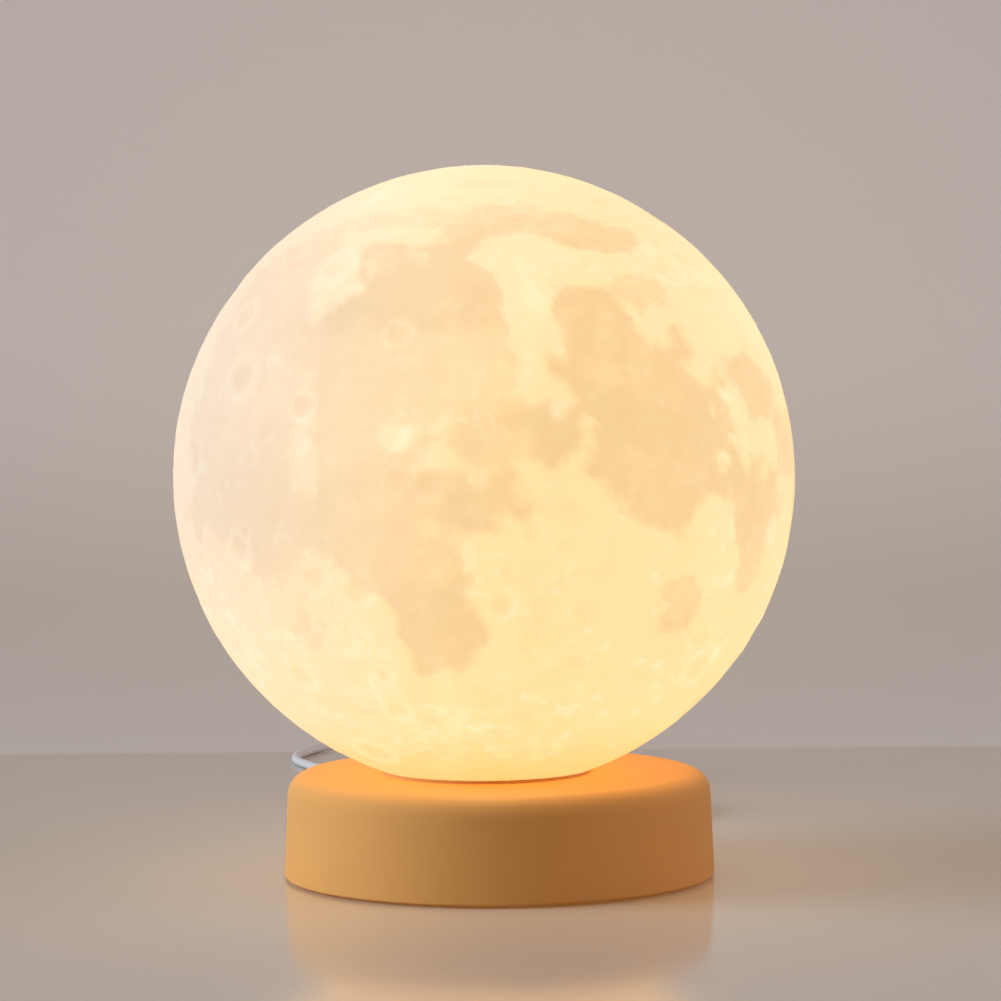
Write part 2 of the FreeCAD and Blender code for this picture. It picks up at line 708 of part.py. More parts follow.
def supply_wires():
    """The two cores of the lead, from the strain relief in over the weight to the connector."""
    x, y = connector_at()
    back = y + CONNECTOR[1] / 2
    level = Z_BOARD_TOP + CONNECTOR[2] / 2
    wires = []
    for side in (-1, 1):
        offset = side * (WIRE_DIA + SNUG) / 2
        path, radii = bent_path([
            (offset, gland_inner(), EXIT_HEIGHT),
            (offset, gland_inner() - (gland_inner() - back) * 0.4, EXIT_HEIGHT),
            (offset, back + (gland_inner() - back) * 0.2, level),
            (offset, back, level),
        ])
        wires.append(tube(path, WIRE_DIA))
    return wires


# ---- Strain relief ----
def gland_face():
    """Where the outer flange of the strain relief starts: just clear of the lowest wall under it."""
    return wall_radius(EXIT_HEIGHT - GLAND_FLANGE_DIA / 2) + SNUG / 2


def gland_inner():
    """Where the inner end of the strain relief is, clear of the inside of the curved wall."""
    inside = wall_radius(EXIT_HEIGHT + GLAND_FLANGE_DIA / 2) - COVER_WALL
    return sqrt(inside ** 2 - (GLAND_FLANGE_DIA / 2) ** 2) - SNUG - GLAND_FLANGE


def gland_tip():
    return gland_face() + GLAND_FLANGE + GLAND_LENGTH


def strain_relief():
    """The sleeve moulded onto the lead: a snap collar inside the wall, a flange outside, then ribs."""
    inside = disc(GLAND_FLANGE_DIA / 2, 0, GLAND_FLANGE)
    start = gland_inner()
    neck = disc(GLAND_NECK_DIA / 2, 0, gland_face() - start + GLAND_FLANGE / 2)
    flange = disc(GLAND_FLANGE_DIA / 2, 0, GLAND_FLANGE)
    flange.translate(Vector(0, 0, gland_face() - start))
    sleeve = grooved_cone(GLAND_ROOT_DIA, GLAND_TIP_DIA, GLAND_LENGTH, GLAND_GROOVE_COUNT, GLAND_GROOVE)
    sleeve.translate(Vector(0, 0, gland_face() - start + GLAND_FLANGE))
    body = neck.fuse([inside, flange, sleeve]).removeSplitter()
    return along(body, 0, start, EXIT_HEIGHT, (0, 1, 0))


# ---- Switch in the lead, made along X about its middle ----
def switch_place(shape):
    return moved(shape, SWITCH_X, SWITCH_Y, 0, SWITCH_HEADING)


def switch_end(side):
    """The tip of the nozzle at one end of the switch and the way it points, in the lamp's frame."""
    way = Vector(side * cos(radians(SWITCH_HEADING)), side * sin(radians(SWITCH_HEADING)), 0)
    return Vector(SWITCH_X, SWITCH_Y, SWITCH_SPLIT) + way * (SWITCH_LENGTH / 2 + NOZZLE_LENGTH), way


def switch_blank():
    """The outside of the closed case, with a tapered nozzle at each end."""
    case = block(SWITCH_LENGTH, SWITCH_WIDTH, 0, SWITCH_HEIGHT)
    case = case.makeFillet(SWITCH_CORNER, upright_edges(case))
    case = case.makeFillet(SWITCH_ROUND, level_edges(case, 0) + level_edges(case, SWITCH_HEIGHT))
    root = SWITCH_LENGTH / 2 - SWITCH_WALL / 2
    nozzle = Part.makeCone(NOZZLE_ROOT_DIA / 2, NOZZLE_TIP_DIA / 2, NOZZLE_LENGTH + SWITCH_WALL / 2)
    ends = [along(nozzle, side * root, 0, SWITCH_SPLIT, (side, 0, 0)) for side in (-1, 1)]
    return case.fuse(ends)


def switch_hollow():
    inner = block(SWITCH_LENGTH - 2 * SWITCH_WALL, SWITCH_WIDTH - 2 * SWITCH_WALL,
                  SWITCH_WALL, SWITCH_HEIGHT - SWITCH_WALL)
    return inner.makeFillet(SWITCH_CORNER - SWITCH_WALL, upright_edges(inner))


def switch_top():
    """The upper half of the case, with the rocker's opening and two ears for its axle."""
    half = switch_blank().cut(switch_hollow())
    half = half.common(block(2 * SWITCH_LENGTH, 2 * SWITCH_WIDTH, SWITCH_SPLIT, 2 * SWITCH_HEIGHT))
    ear_low = ROCKER_AXLE_Z - ROCKER_AXLE_DIA / 2 - EAR_WALL
    inside = (ROCKER_WIDTH + 2 * RUN_CLEAR + EAR_WALL) / 2
    for side in (-1, 1):
        ear = block(ROCKER_AXLE_DIA + 2 * EAR_WALL, EAR_WALL, ear_low, SWITCH_HEIGHT - SWITCH_WALL / 2,
                    0, side * inside)
        post = disc(SMALL_SCREW_DIA / 2 + EAR_WALL, SWITCH_SPLIT, SWITCH_HEIGHT - SWITCH_WALL / 2,
                    side * SWITCH_SCREW_GAP / 2)
        half = half.fuse([ear, post])
    opening = block(ROCKER_LENGTH + 2 * ROCKER_CLEAR, ROCKER_WIDTH + 2 * RUN_CLEAR,
                    SWITCH_HEIGHT - 2 * SWITCH_WALL, SWITCH_HEIGHT + 1)
    bore = Part.makeCylinder(ROCKER_AXLE_DIA / 2 + RUN_CLEAR, SWITCH_WIDTH - 2 * SWITCH_WALL,
                             Vector(0, SWITCH_WALL - SWITCH_WIDTH / 2, ROCKER_AXLE_Z), Vector(0, 1, 0))
    half = half.cut([opening, bore])
    for side in (-1, 1):
        half = half.cut(disc(SMALL_SCREW_DIA / 2 + SCREW_CLEAR, SWITCH_SPLIT - 1,
                             SWITCH_HEIGHT - SWITCH_WALL, side * SWITCH_SCREW_GAP / 2))
    return switch_place(half.removeSplitter())


def switch_bottom():
    """The lower half of the case, with screw posts and a raised bed for the contacts."""
    half = switch_blank().cut(switch_hollow())
    half = half.common(block(2 * SWITCH_LENGTH, 2 * SWITCH_WIDTH, -1, SWITCH_SPLIT))
    posts = [
        disc(SMALL_SCREW_HEAD_DIA / 2 + EAR_WALL, SWITCH_WALL / 2, SWITCH_SPLIT, side * SWITCH_SCREW_GAP / 2)
        for side in (-1, 1)
    ]
    half = half.fuse(posts)
    for side in (-1, 1):
        x = side * SWITCH_SCREW_GAP / 2
        half = half.cut(disc(SMALL_SCREW_DIA / 2 + SCREW_CLEAR, -1, SWITCH_SPLIT + 1, x))
        half = half.cut(disc(SMALL_SCREW_HEAD_DIA / 2 + SNUG, -1, switch_screw_seat(), x))
    return switch_place(half.removeSplitter())


def switch_screw_seat():
    return SWITCH_WALL / 2 + SMALL_SCREW_HEAD


def switch_screws():
    length = (SWITCH_HEIGHT - SWITCH_WALL - switch_screw_seat()) * 0.8
    return [
        switch_place(screw(side * SWITCH_SCREW_GAP / 2, 0, switch_screw_seat(), length,
                           SMALL_SCREW_DIA, SMALL_SCREW_HEAD_DIA, SMALL_SCREW_HEAD, True))
        for side in (-1, 1)
    ]


def switch_contacts():
    """Two brass contacts on the floor of the case, each with a raised pad under one end of the rocker."""
    contacts = []
    for side in (-1, 1):
        x = side * CONTACT_GAP / 2
        foot = block(CONTACT_LENGTH, CONTACT_WIDTH, SWITCH_WALL, SWITCH_WALL + CONTACT_THICK, x)
        pad = disc(CONTACT_WIDTH / 2 - SNUG, SWITCH_WALL, SWITCH_WALL + CONTACT_HEIGHT, x)
        contacts.append(switch_place(foot.fuse(pad)))
    return contacts


def switch_rocker():
    """The rocker, thrown to off: round ends about its axle, and a top that dips at the middle."""
    radius = ROCKER_LENGTH / 2
    half_width = ROCKER_WIDTH / 2
    drum = Part.makeCylinder(radius, ROCKER_WIDTH, Vector(0, -half_width, 0), Vector(0, 1, 0))
    dip = ROCKER_AXLE_DROP + ROCKER_PROUD
    rise = dip + 2 * radius * tan(radians(ROCKER_THROW))
    outline = [
        Vector(-2 * radius, 0, -ROCKER_DEPTH),
        Vector(2 * radius, 0, -ROCKER_DEPTH),
        Vector(2 * radius, 0, rise),
        Vector(0, 0, dip),
        Vector(-2 * radius, 0, rise),
    ]
    wedge = Part.Face(Part.makePolygon(outline + outline[:1])).extrude(Vector(0, ROCKER_WIDTH, 0))
    wedge.translate(Vector(0, -half_width, 0))
    reach = half_width + RUN_CLEAR + EAR_WALL
    axle = Part.makeCylinder(ROCKER_AXLE_DIA / 2, 2 * reach, Vector(0, -reach, 0), Vector(0, 1, 0))
    rocker = drum.common(wedge).fuse(axle).removeSplitter()
    rocker.Placement = Placement(Vector(0, 0, ROCKER_AXLE_Z), Rotation(Vector(0, 1, 0), -ROCKER_THROW))
    return switch_place(rocker)


# ---- Plug, made along X with its tail at -X ----
def plug_place(shape):
    return moved(shape, PLUG_X, PLUG_Y, 0, PLUG_HEADING)


def plug_tail():
    """The tip of the plug's tail and the way it points, in the lamp's frame."""
    way = Vector(-cos(radians(PLUG_HEADING)), -sin(radians(PLUG_HEADING)), 0)
    return Vector(PLUG_X, PLUG_Y, GRIP_HEIGHT / 2) + way * (GRIP_LENGTH / 2 + TAIL_LENGTH), way


def plug_grip():
    """The moulded grip and its ribbed tail."""
    grip = block(GRIP_LENGTH, GRIP_WIDTH, 0, GRIP_HEIGHT)
    grip = grip.makeFillet(GRIP_ROUND, upright_edges(grip))
    grip = grip.makeFillet(GRIP_ROUND * 0.6, level_edges(grip, 0) + level_edges(grip, GRIP_HEIGHT))
    tail = grooved_cone(TAIL_ROOT_DIA, TAIL_TIP_DIA, TAIL_LENGTH, TAIL_GROOVE_COUNT, TAIL_GROOVE)
    tail = along(tail, -GRIP_LENGTH / 2, 0, GRIP_HEIGHT / 2, (-1, 0, 0))
    return plug_place(grip.fuse(tail).removeSplitter())


def plug_shell():
    """The sheet-metal shell of the plug, open at its front, with two square windows above and below."""
    length, width, height = PLUG_SHELL
    low = (GRIP_HEIGHT - height) / 2
    middle = GRIP_LENGTH / 2 + length / 2
    wall = PLUG_SHELL_WALL
    shell = block(length, width, low, low + height, middle)
    shell = shell.cut(block(length, width - 2 * wall, low + wall, low + height - wall, middle + 2 * wall))
    for side in (-1, 1):
        window = block(PLUG_WINDOW, PLUG_WINDOW, low - 1, low + height + 1, middle, side * width / 4)
        shell = shell.cut(window)
    return plug_place(shell)


def tongue_levels():
    """The plastic tongue lies on the inside of the shell's upper wall."""
    top = (GRIP_HEIGHT + PLUG_SHELL[2]) / 2 - PLUG_SHELL_WALL
    return top - TONGUE_THICK, top


def plug_tongue():
    length, width, height = PLUG_SHELL
    low, top = tongue_levels()
    start = GRIP_LENGTH / 2 + 2 * PLUG_SHELL_WALL
    end = GRIP_LENGTH / 2 + length - RUN_CLEAR
    inside = width - 2 * PLUG_SHELL_WALL - 2 * SNUG
    return plug_place(block(end - start, inside, low, top, (start + end) / 2))


def plug_pins():
    """The gilt contact strips on the underside of the tongue."""
    low, top = tongue_levels()
    length = PLUG_SHELL[0] * 0.6
    middle = GRIP_LENGTH / 2 + PLUG_SHELL[0] * 0.55
    across = [PIN_PITCH * (i - (PIN_COUNT - 1) / 2) for i in range(PIN_COUNT)]
    return [plug_place(block(length, PIN_WIDTH, low - PIN_THICK, low, middle, y)) for y in across]


def lead_pieces():
    """The free stretches of the lead and its coil, end to end."""
    back = (0, 1, 0)
    leaving = (Vector(0, gland_tip(), EXIT_HEIGHT), back)
    to_coil, first = lead("lead_to_coil", leaving, LEAD_TO_COIL, (COIL_LEAD_IN, back))
    coil, wound = lead_coil()
    to_switch, second = lead("lead_to_switch", (COIL_LEAD_OUT, back), LEAD_TO_SWITCH, switch_end(-1))
    to_plug, third = lead("lead_to_plug", switch_end(1), LEAD_TO_PLUG, plug_tail())
    print(f"whole lead: {first + wound + second + third:.0f} mm")
    return {"lead_to_coil": to_coil, "lead_coil": coil, "lead_to_switch": to_switch, "lead_to_plug": to_plug}


PARTS = {
    "globe_shell": globe_shell,
    "mouth_ring": mouth_ring,
    "base_cover": base_cover,
    "bottom_plate": bottom_plate,
    "rubber_ring": rubber_ring,
    "cover_screws": cover_screws,
    "ballast_ring": ballast_ring,
    "ballast_screws": ballast_screws,
    "lens": lens,
    "reflector_ring": reflector_ring,
    "led_board": led_board,
    "led_chips": led_chips,
    "led_board_screws": led_board_screws,
    "heat_spreader": heat_spreader,
    "spreader_screws": spreader_screws,
    "led_wires": led_wires,
    "driver_board": driver_board,
    "driver_board_screws": driver_board_screws,
    "driver_chip": driver_chip,
    "driver_inductor": driver_inductor,
    "driver_capacitor": driver_capacitor,
    "supply_connector": supply_connector,
    "supply_wires": supply_wires,
    "strain_relief": strain_relief,
    "switch_top": switch_top,
    "switch_bottom": switch_bottom,
    "switch_screws": switch_screws,
    "switch_contacts": switch_contacts,
    "switch_rocker": switch_rocker,
    "plug_grip": plug_grip,
    "plug_shell": plug_shell,
    "plug_tongue": plug_tongue,
    "plug_pins": plug_pins,
}


def main():
    os.makedirs("parts", exist_ok=True)
    pieces = {name: make() for name, make in PARTS.items()}
    pieces.update(lead_pieces())
    for name, piece in pieces.items():
        shape = Part.makeCompound(piece) if isinstance(piece, list) else piece
        shape.exportStep(f"parts/{name}.step")
        print(f"{name}: {len(shape.Solids)} solid(s), {shape.Volume / 1000:.2f} cm3, valid {shape.isValid()}")


main()
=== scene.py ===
"""Dresses the moon lamp: the printed moon, its supply lead, a finish for every piece, and a plain studio.

Metres, in the lamp's own frame: +Z up, the table at Z = 0, and the front at -Y.
"""
import math
import random

import bmesh
import bpy
import numpy as np
from mathutils import Matrix, Vector, noise


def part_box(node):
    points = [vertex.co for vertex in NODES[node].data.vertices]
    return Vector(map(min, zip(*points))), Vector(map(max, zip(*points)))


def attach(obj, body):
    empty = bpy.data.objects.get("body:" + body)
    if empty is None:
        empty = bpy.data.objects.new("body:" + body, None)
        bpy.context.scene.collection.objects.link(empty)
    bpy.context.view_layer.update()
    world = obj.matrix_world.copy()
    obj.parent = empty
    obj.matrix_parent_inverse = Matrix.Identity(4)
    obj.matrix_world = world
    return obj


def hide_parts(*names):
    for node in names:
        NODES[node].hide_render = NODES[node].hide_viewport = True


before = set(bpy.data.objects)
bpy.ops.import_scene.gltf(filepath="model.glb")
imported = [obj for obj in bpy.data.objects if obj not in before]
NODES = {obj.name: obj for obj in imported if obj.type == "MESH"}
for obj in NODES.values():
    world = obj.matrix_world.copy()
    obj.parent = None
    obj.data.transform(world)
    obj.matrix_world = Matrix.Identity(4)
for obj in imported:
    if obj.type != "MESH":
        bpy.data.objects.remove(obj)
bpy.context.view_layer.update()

bl_info = {
    "name": "Moon lamp",
    "version": (1, 0, 0),
    "blender": (4, 5, 0),
    "location": "View3D > Sidebar > Moon lamp",
    "description": "Builds the moon lamp round its engineering model and lights it for a picture",
    "category": "Object",
}

MM = 0.001

# ---- Sizes taken from the engineering model ----
SHELL_LOW, SHELL_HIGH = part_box("globe_shell")
GLOBE_RADIUS = (SHELL_HIGH.x - SHELL_LOW.x) / 2
GLOBE_CENTRE = Vector((
    (SHELL_LOW.x + SHELL_HIGH.x) / 2,
    (SHELL_LOW.y + SHELL_HIGH.y) / 2,
    SHELL_HIGH.z - GLOBE_RADIUS,
))
GLOBE_CUT = SHELL_LOW.z
SHELL_WALL = 1.6 * MM
BORE_RADIUS = 28.8 * MM      # round the mouth ring

# ---- The lead: its points and bare lengths are in millimetres ----
LEAD_DIAMETER = 3.0 * MM
LEAD_GUIDE = 12.0            # straight ahead of the piece at each end of a stretch
LEAD_EXIT = (0.0, 84.16, 11.0)
LEAD_TO_COIL = [
    (-1.5, 110.0, 5.6),
    (-5.0, 124.0, 1.5),
    (-11.0, 144.0, 1.5),
    (-20.0, 168.0, 1.5),
    (-34.0, 193.0, 1.5),
    (-50.0, 219.0, 1.5),
    (-66.0, 246.0, 1.5),
    (-75.5, 274.0, 1.5),
    (-67.0, 302.0, 1.5),
    (-56.0, 325.0, 1.5),
    (-36.0, 336.0, 1.5),
    (-14.0, 329.0, 1.5),
    (-2.0, 309.0, 1.5),
    (0.0, 283.0, 1.5),
    (-4.0, 256.0, 1.5),
    (-3.0, 228.0, 1.5),
    (3.0, 202.0, 1.5),
    (9.0, 177.0, 1.5),
]
LEAD_TO_SWITCH = [(57.0, 157.0, 1.6), (48.5, 171.0, 1.6)]
LEAD_TO_PLUG = [(15.0, 270.0, 1.6)]
COIL_X = 34.0
COIL_Y = 128.0
COIL_DIAMETER = 48.0
COIL_PITCH = 3.5
COIL_HALF_TURNS = 7
COIL_POINTS = 12             # for each half turn
SWITCH_PLACE = (26.0, 222.0, 4.8)
SWITCH_HEADING = 108.0
SWITCH_REACH = 28.0          # from its middle to the tip of each nozzle
PLUG_PLACE = (20.0, 312.0, 3.9)
PLUG_HEADING = 85.0
PLUG_REACH = 19.5            # from its middle to the tip of its tail

# ---- The camera ----
CAMERA_PLACE = (0.0011, -1.1567, 0.1758)
CAMERA_PITCH = 3.293         # degrees down
CAMERA_ROLL = -0.466         # degrees
CAMERA_LENS = 143.86         # millimetres

# ---- The table and the wall ----
TABLE_FRONT = -1.6
TABLE_WIDTH = 4.0
WALL_HEIGHT = 2.4
WALL_LINE_BLUR = 6 * MM
WALL_SHADE_LOW = -0.05       # painted shade: the wall is painted darker near the table and lighter upwards between these heights
WALL_SHADE_HIGH = 0.16
FAR_WALL_TONE = 0.6          # of what lies past the edge of the wall, for the wall's colour

# ---- The printed map: the dark seas and plains of the Moon, and its bright young craters ----
# Name, latitude, longitude, half width and half height in degrees, and how dark it is.
SEAS = [
    ("Sea of Showers", 37.0, -17.0, 15.5, 11.0, 1.15),
    ("Sea of Showers, south", 25.0, -20.0, 16.0, 8.0, 0.5),
    ("Bay of Rainbows", 44.0, -30.0, 4.5, 3.5, 0.6),
    ("Sea of Serenity", 26.0, 19.5, 10.0, 9.5, 0.95),
    ("Sea of Serenity, north-west", 33.0, 15.5, 6.0, 4.0, 1.0),
    ("Sea of Tranquility", 8.0, 30.5, 12.0, 10.5, 0.95),
    ("Sea of Tranquility, north", 17.0, 28.5, 8.0, 6.0, 0.9),
    ("Sea of Tranquility, south", -2.0, 28.0, 6.5, 5.0, 0.9),
    ("Sea of Crises", 17.5, 58.0, 7.5, 5.8, 0.8),
    ("Sea of Fertility", -5.0, 51.0, 9.5, 8.0, 0.95),
    ("Sea of Fertility, south", -14.0, 55.0, 5.0, 7.0, 0.6),
    ("Sea of Nectar", -19.0, 36.5, 5.8, 5.8, 0.65),
    ("Sea of Showers, south-east", 21.0, -4.0, 8.0, 7.0, 0.4),
    ("Sea of Cold, west", 56.0, -30.0, 10.0, 3.0, 0.35),
    ("Sea of Cold, middle", 57.0, -8.0, 13.0, 3.4, 0.5),
    ("Sea of Cold, east", 54.0, 13.0, 13.0, 3.8, 0.65),
    ("Sea of Cold, far east", 49.0, 28.0, 8.0, 4.0, 0.75),
    ("Sea of Vapours", 10.0, 4.5, 7.0, 4.4, 0.9),
    ("Seething Bay", 8.0, -5.0, 5.0, 3.8, 0.7),
    ("Central Bay", -1.0, -6.0, 9.0, 5.0, 0.9),
    ("Sea of Tranquility, west", 5.5, 19.5, 4.5, 3.0, 0.6),
    ("Sea of Islands", 11.0, -27.0, 11.0, 9.0, 0.5),
    ("Known Sea", -8.0, -26.0, 10.0, 8.5, 0.7),
    ("Sea of Clouds", -25.0, -13.0, 8.0, 9.5, 1.1),
    ("Sea of Clouds, north", -13.0, -13.0, 5.0, 5.0, 0.85),
    ("Sea of Moisture", -26.0, -41.0, 5.5, 5.5, 0.45),
    ("Ocean of Storms, north", 42.0, -54.0, 10.0, 9.0, 0.35),
    ("Ocean of Storms, north-west", 30.0, -62.0, 10.0, 13.0, 0.4),
    ("Ocean of Storms, middle", 15.0, -52.0, 13.0, 12.0, 0.4),
    ("Ocean of Storms, west", 5.0, -62.0, 8.0, 12.0, 0.38),
    ("Ocean of Storms, south", -5.0, -46.0, 11.0, 10.0, 0.45),
    ("Western dark plain", -5.5, -68.3, 2.4, 3.4, 0.5),
    ("Northern dark plain", 51.6, -9.4, 2.4, 1.5, 0.9),
    ("Lake of Dreams", 38.0, 33.0, 5.0, 3.5, 0.4),
    ("Sea of Waves", 6.0, 69.0, 6.0, 5.0, 0.6),
    ("Border Sea", 13.0, 86.0, 6.0, 5.0, 0.7),
    ("Eastern Border Sea", -1.7, 82.0, 8.0, 10.0, 0.6),
    ("Southern Sea", -47.0, 91.0, 14.0, 10.0, 0.5),
    ("Far north-east Sea", 56.8, 81.5, 4.5, 4.0, 0.6),
    ("Far side Sea", 27.4, 148.0, 4.8, 4.2, 0.9),
    ("Sea of Cleverness", -33.2, 164.8, 5.0, 4.0, 0.7),
    ("Eastern Sea", -19.9, -94.7, 5.0, 5.0, 0.8),
]
# Bright mountains that part the seas: latitude, longitude, half width, half height, and how high.
MOUNTAINS = [
    (34.0, 6.0, 4.5, 7.5, 1.0),
    (22.0, 4.0, 3.5, 6.0, 0.6),
    (43.5, 12.0, 12.0, 4.0, 0.8),
    (41.0, -41.0, 6.0, 5.0, 0.9),
    (8.0, -37.5, 2.8, 8.0, 0.6),
    (9.6, -20.0, 4.0, 3.2, 0.7),
    (-12.4, 42.5, 5.0, 9.0, 1.1),
    (-29.0, -29.0, 8.0, 7.0, 0.7),
    (-17.0, -33.0, 3.5, 5.0, 0.4),
    (-30.0, -58.0, 15.0, 13.0, 0.6),
]
SEA_EDGE = 1.1               # how steeply a sea thins out towards its coast
# Latitude, longitude, radius in degrees, and how far its bright rays reach.
YOUNG_CRATERS = [
    (-43.3, -11.2, 1.4, 24.0),
    (9.6, -20.0, 1.7, 9.0),
    (8.1, -38.0, 1.0, 6.0),
    (23.7, -48.5, 1.1, 4.0),
    (14.5, 9.0, 1.0, 2.0),
    (16.3, 16.0, 0.8, 2.0),
    (16.1, 46.8, 1.0, 5.0),
    (-8.9, 61.0, 1.6, 5.0),
    (-32.5, 54.2, 1.2, 8.0),
    (-24.7, -65.3, 1.1, 9.0),
    (-17.0, 47.0, 1.0, 5.0),
    (46.7, 44.4, 1.2, 3.0),
    (61.6, -52.0, 1.1, 6.0),
    (36.0, 103.0, 1.2, 14.0),
    (22.4, -163.0, 1.6, 16.0),
    (18.4, -113.5, 1.4, 12.0),
    (-36.0, 152.0, 1.5, 12.0),
    (-6.0, 128.0, 1.6, 9.0),
    (60.0, 130.0, 1.6, 9.0),
]
YOUNG_BOWL = 1.25            # radius of a young crater's bowl for the radius in the list

# ---- The unevenness of the map and the relief ----
# How many features to a radius of the globe, how many octaves of finer ones, and a seed.
BROAD_NOISE = (3.4, 6, 1)
FINE_NOISE = (12.0, 6, 2)
RIDGE_NOISE = (6.0, 6, 3)
ROUGH_NOISE = (26.0, 4, 4)
WANDER_NOISE = (9.0, 4, 5)
SPECKLE_NOISE = (19.0, 5, 6)

# ---- The relief of the print, in millimetres ----
SKIN_INSET = 0.14            # the level of the plains lies this far inside the round outline
RIDGES = 0.10                # height of the broad unevenness of the highlands
ROUGHNESS = 0.06             # height of the fine one
SEA_DEPTH = 0.30
SEA_CALM = 0.75              # share of the unevenness that the seas smooth away
SEA_FILL = 0.6               # share of a crater's depth that the seas fill
CALM_FOOT = 6.0              # the relief fades out over this height above the flat mouth
BOWL_SLOPE = 0.11            # depth of a crater for each millimetre of its radius
DEEPEST_BOWL = 0.42
RIM_SHARE = 0.35             # height of a crater's rim for its depth
SMALLEST_CRATER = 1.7        # radius
CRATER_SPREAD = 5.2          # the largest radius is this much more
CRATER_BIAS = 3.2            # the higher, the fewer large craters
OLDEST_CRATER = 0.35         # share of its depth that is left to the most worn one
CRATER_SEED = 11
CRATER_REACH = 2.2           # how far out a crater shapes the surface, for its radius

# ---- The mesh of the globe ----
BALL_CUTS = 6                # cuts across each side of the cube that it is made from
SKIN_LEVELS = 4              # how often the faces outside are divided again
LINING_LEVELS = 2            # and those inside


# ---- Modelling helpers ----
def start_clean():
    """Leaves object mode with nothing selected, as every piece starts."""
    if bpy.context.object and bpy.context.object.mode != "OBJECT":
        bpy.ops.object.mode_set(mode="OBJECT")
    bpy.ops.object.select_all(action="DESELECT")


def named(name):
    """Names the active object and its mesh."""
    piece = bpy.context.object
    piece.name = name
    piece.data.name = name
    return piece


def apply_modifiers(piece):
    for modifier in list(piece.modifiers):
        bpy.ops.object.modifier_apply(modifier=modifier.name)


def select_edges(piece, wanted):
    """In edit mode, selects just the edges that pass a test."""
    bpy.ops.mesh.select_mode(type="EDGE")
    bpy.ops.mesh.select_all(action="DESELECT")
    mesh = bmesh.from_edit_mesh(piece.data)
    for edge in mesh.edges:
        if wanted(edge):
            edge.select = True
    mesh.select_flush_mode()
    bmesh.update_edit_mesh(piece.data)


def dress(material, *nodes):
    """Gives nodes of the engineering model a material of their own."""
    for node in nodes:
        for slot in NODES[node].material_slots:
            slot.material = material


# ---- Shader helpers ----
class Value:
    """A number that varies over a surface. Expressions on values add their Math nodes."""

    def __init__(self, finish, socket):
        self.finish = finish
        self.socket = socket

    def math(self, operation, *others):
        inputs = dict(enumerate((self, *others)))
        return self.finish.node("ShaderNodeMath", {"operation": operation}, inputs)[0]

    def __add__(self, other):
        return self.math("ADD", other)

    def __sub__(self, other):
        return self.math("SUBTRACT", other)

    def __mul__(self, other):
        return self.math("MULTIPLY", other)

    def clipped(self):
        return self.math("MINIMUM", 1.0).math("MAXIMUM", 0.0)


class Finish:
    """A material with one Principled shader, and the nodes that vary its colour, roughness and bump."""

    def __init__(self, name, colour, roughness, **settings):
        self.material = bpy.data.materials.new(name)
        self.material.use_nodes = True
        self.tree = self.material.node_tree
        self.shader = self.tree.nodes["Principled BSDF"]
        self.shader.inputs["Base Color"].default_value = (*colour, 1.0)
        self.shader.inputs["Roughness"].default_value = roughness
        for socket, value in settings.items():
            self.shader.inputs[socket.replace("_", " ").title()].default_value = value

    def node(self, kind, settings, inputs):
        """Adds a node, sets it, fills its sockets, and returns its outputs as values."""
        node = self.tree.nodes.new(kind)
        for name, value in settings.items():
            setattr(node, name, value)
        for key, value in inputs.items():
            self.link(value, node.inputs[key])
        return [Value(self, output) for output in node.outputs]

    def link(self, value, socket):
        if isinstance(value, Value):
            self.tree.links.new(value.socket, socket)
        else:
            socket.default_value = value

    def drive(self, name, value):
        """Links a value or a colour to one of the shader's sockets."""
        self.link(value, self.shader.inputs[name])

    def place(self, stretch=(1.0, 1.0, 1.0)):
        """Object coordinates in metres, stretched along the axes."""
        coordinates = self.node("ShaderNodeTexCoord", {}, {})[3]
        return self.node("ShaderNodeMapping", {}, {"Vector": coordinates, "Scale": stretch})[0]

    def grain(self, size, detail=2.0, rough=0.5, stretch=(1.0, 1.0, 1.0)):
        """Noise from 0 to 1 with features of about a size in metres."""
        return self.node(
            "ShaderNodeTexNoise", {},
            {"Vector": self.place(stretch), "Scale": 1 / size, "Detail": detail, "Roughness": rough},
        )[0]

    def cells(self, size):
        """The distance to the nearest of many scattered points."""
        return self.node("ShaderNodeTexVoronoi", {}, {"Vector": self.place(), "Scale": 1 / size})[0]

    def painted(self, name):
        """A number painted on the piece's own points."""
        return self.node("ShaderNodeAttribute", {"attribute_name": name}, {})[2]

    def axis(self, index):
        """One of the object coordinates, in metres."""
        return self.node("ShaderNodeSeparateXYZ", {}, {"Vector": self.place()})[index]

    def stepped(self, value, low, high):
        """A soft step from 0 to 1 as a value goes from low to high."""
        return self.node(
            "ShaderNodeMapRange", {"interpolation_type": "SMOOTHSTEP"},
            {"Value": value, "From Min": low, "From Max": high},
        )[0]

    def blend(self, factor, first, second):
        """A colour from the first to the second."""
        return self.node(
            "ShaderNodeMix", {"data_type": "RGBA"},
            {0: factor, 6: colour_input(first), 7: colour_input(second)},
        )[2]

    def bump(self, height, depth, strength=1.0):
        """Turns a height from 0 to 1 into relief of a depth in metres."""
        normal = self.node(
            "ShaderNodeBump", {}, {"Height": height, "Distance": depth, "Strength": strength},
        )[0]
        self.drive("Normal", normal)

    def clear_from_behind(self):
        """Lets a surface be looked through from its back."""
        back = self.node("ShaderNodeNewGeometry", {}, {})[6]
        clear = self.node("ShaderNodeBsdfTransparent", {}, {})[0]
        front = Value(self, self.shader.outputs[0])
        surface = self.node("ShaderNodeMixShader", {}, {0: back, 1: front, 2: clear})[0]
        self.link(surface, self.tree.nodes["Material Output"].inputs["Surface"])


def colour_input(colour):
    return colour if isinstance(colour, Value) else (*colour, 1.0)


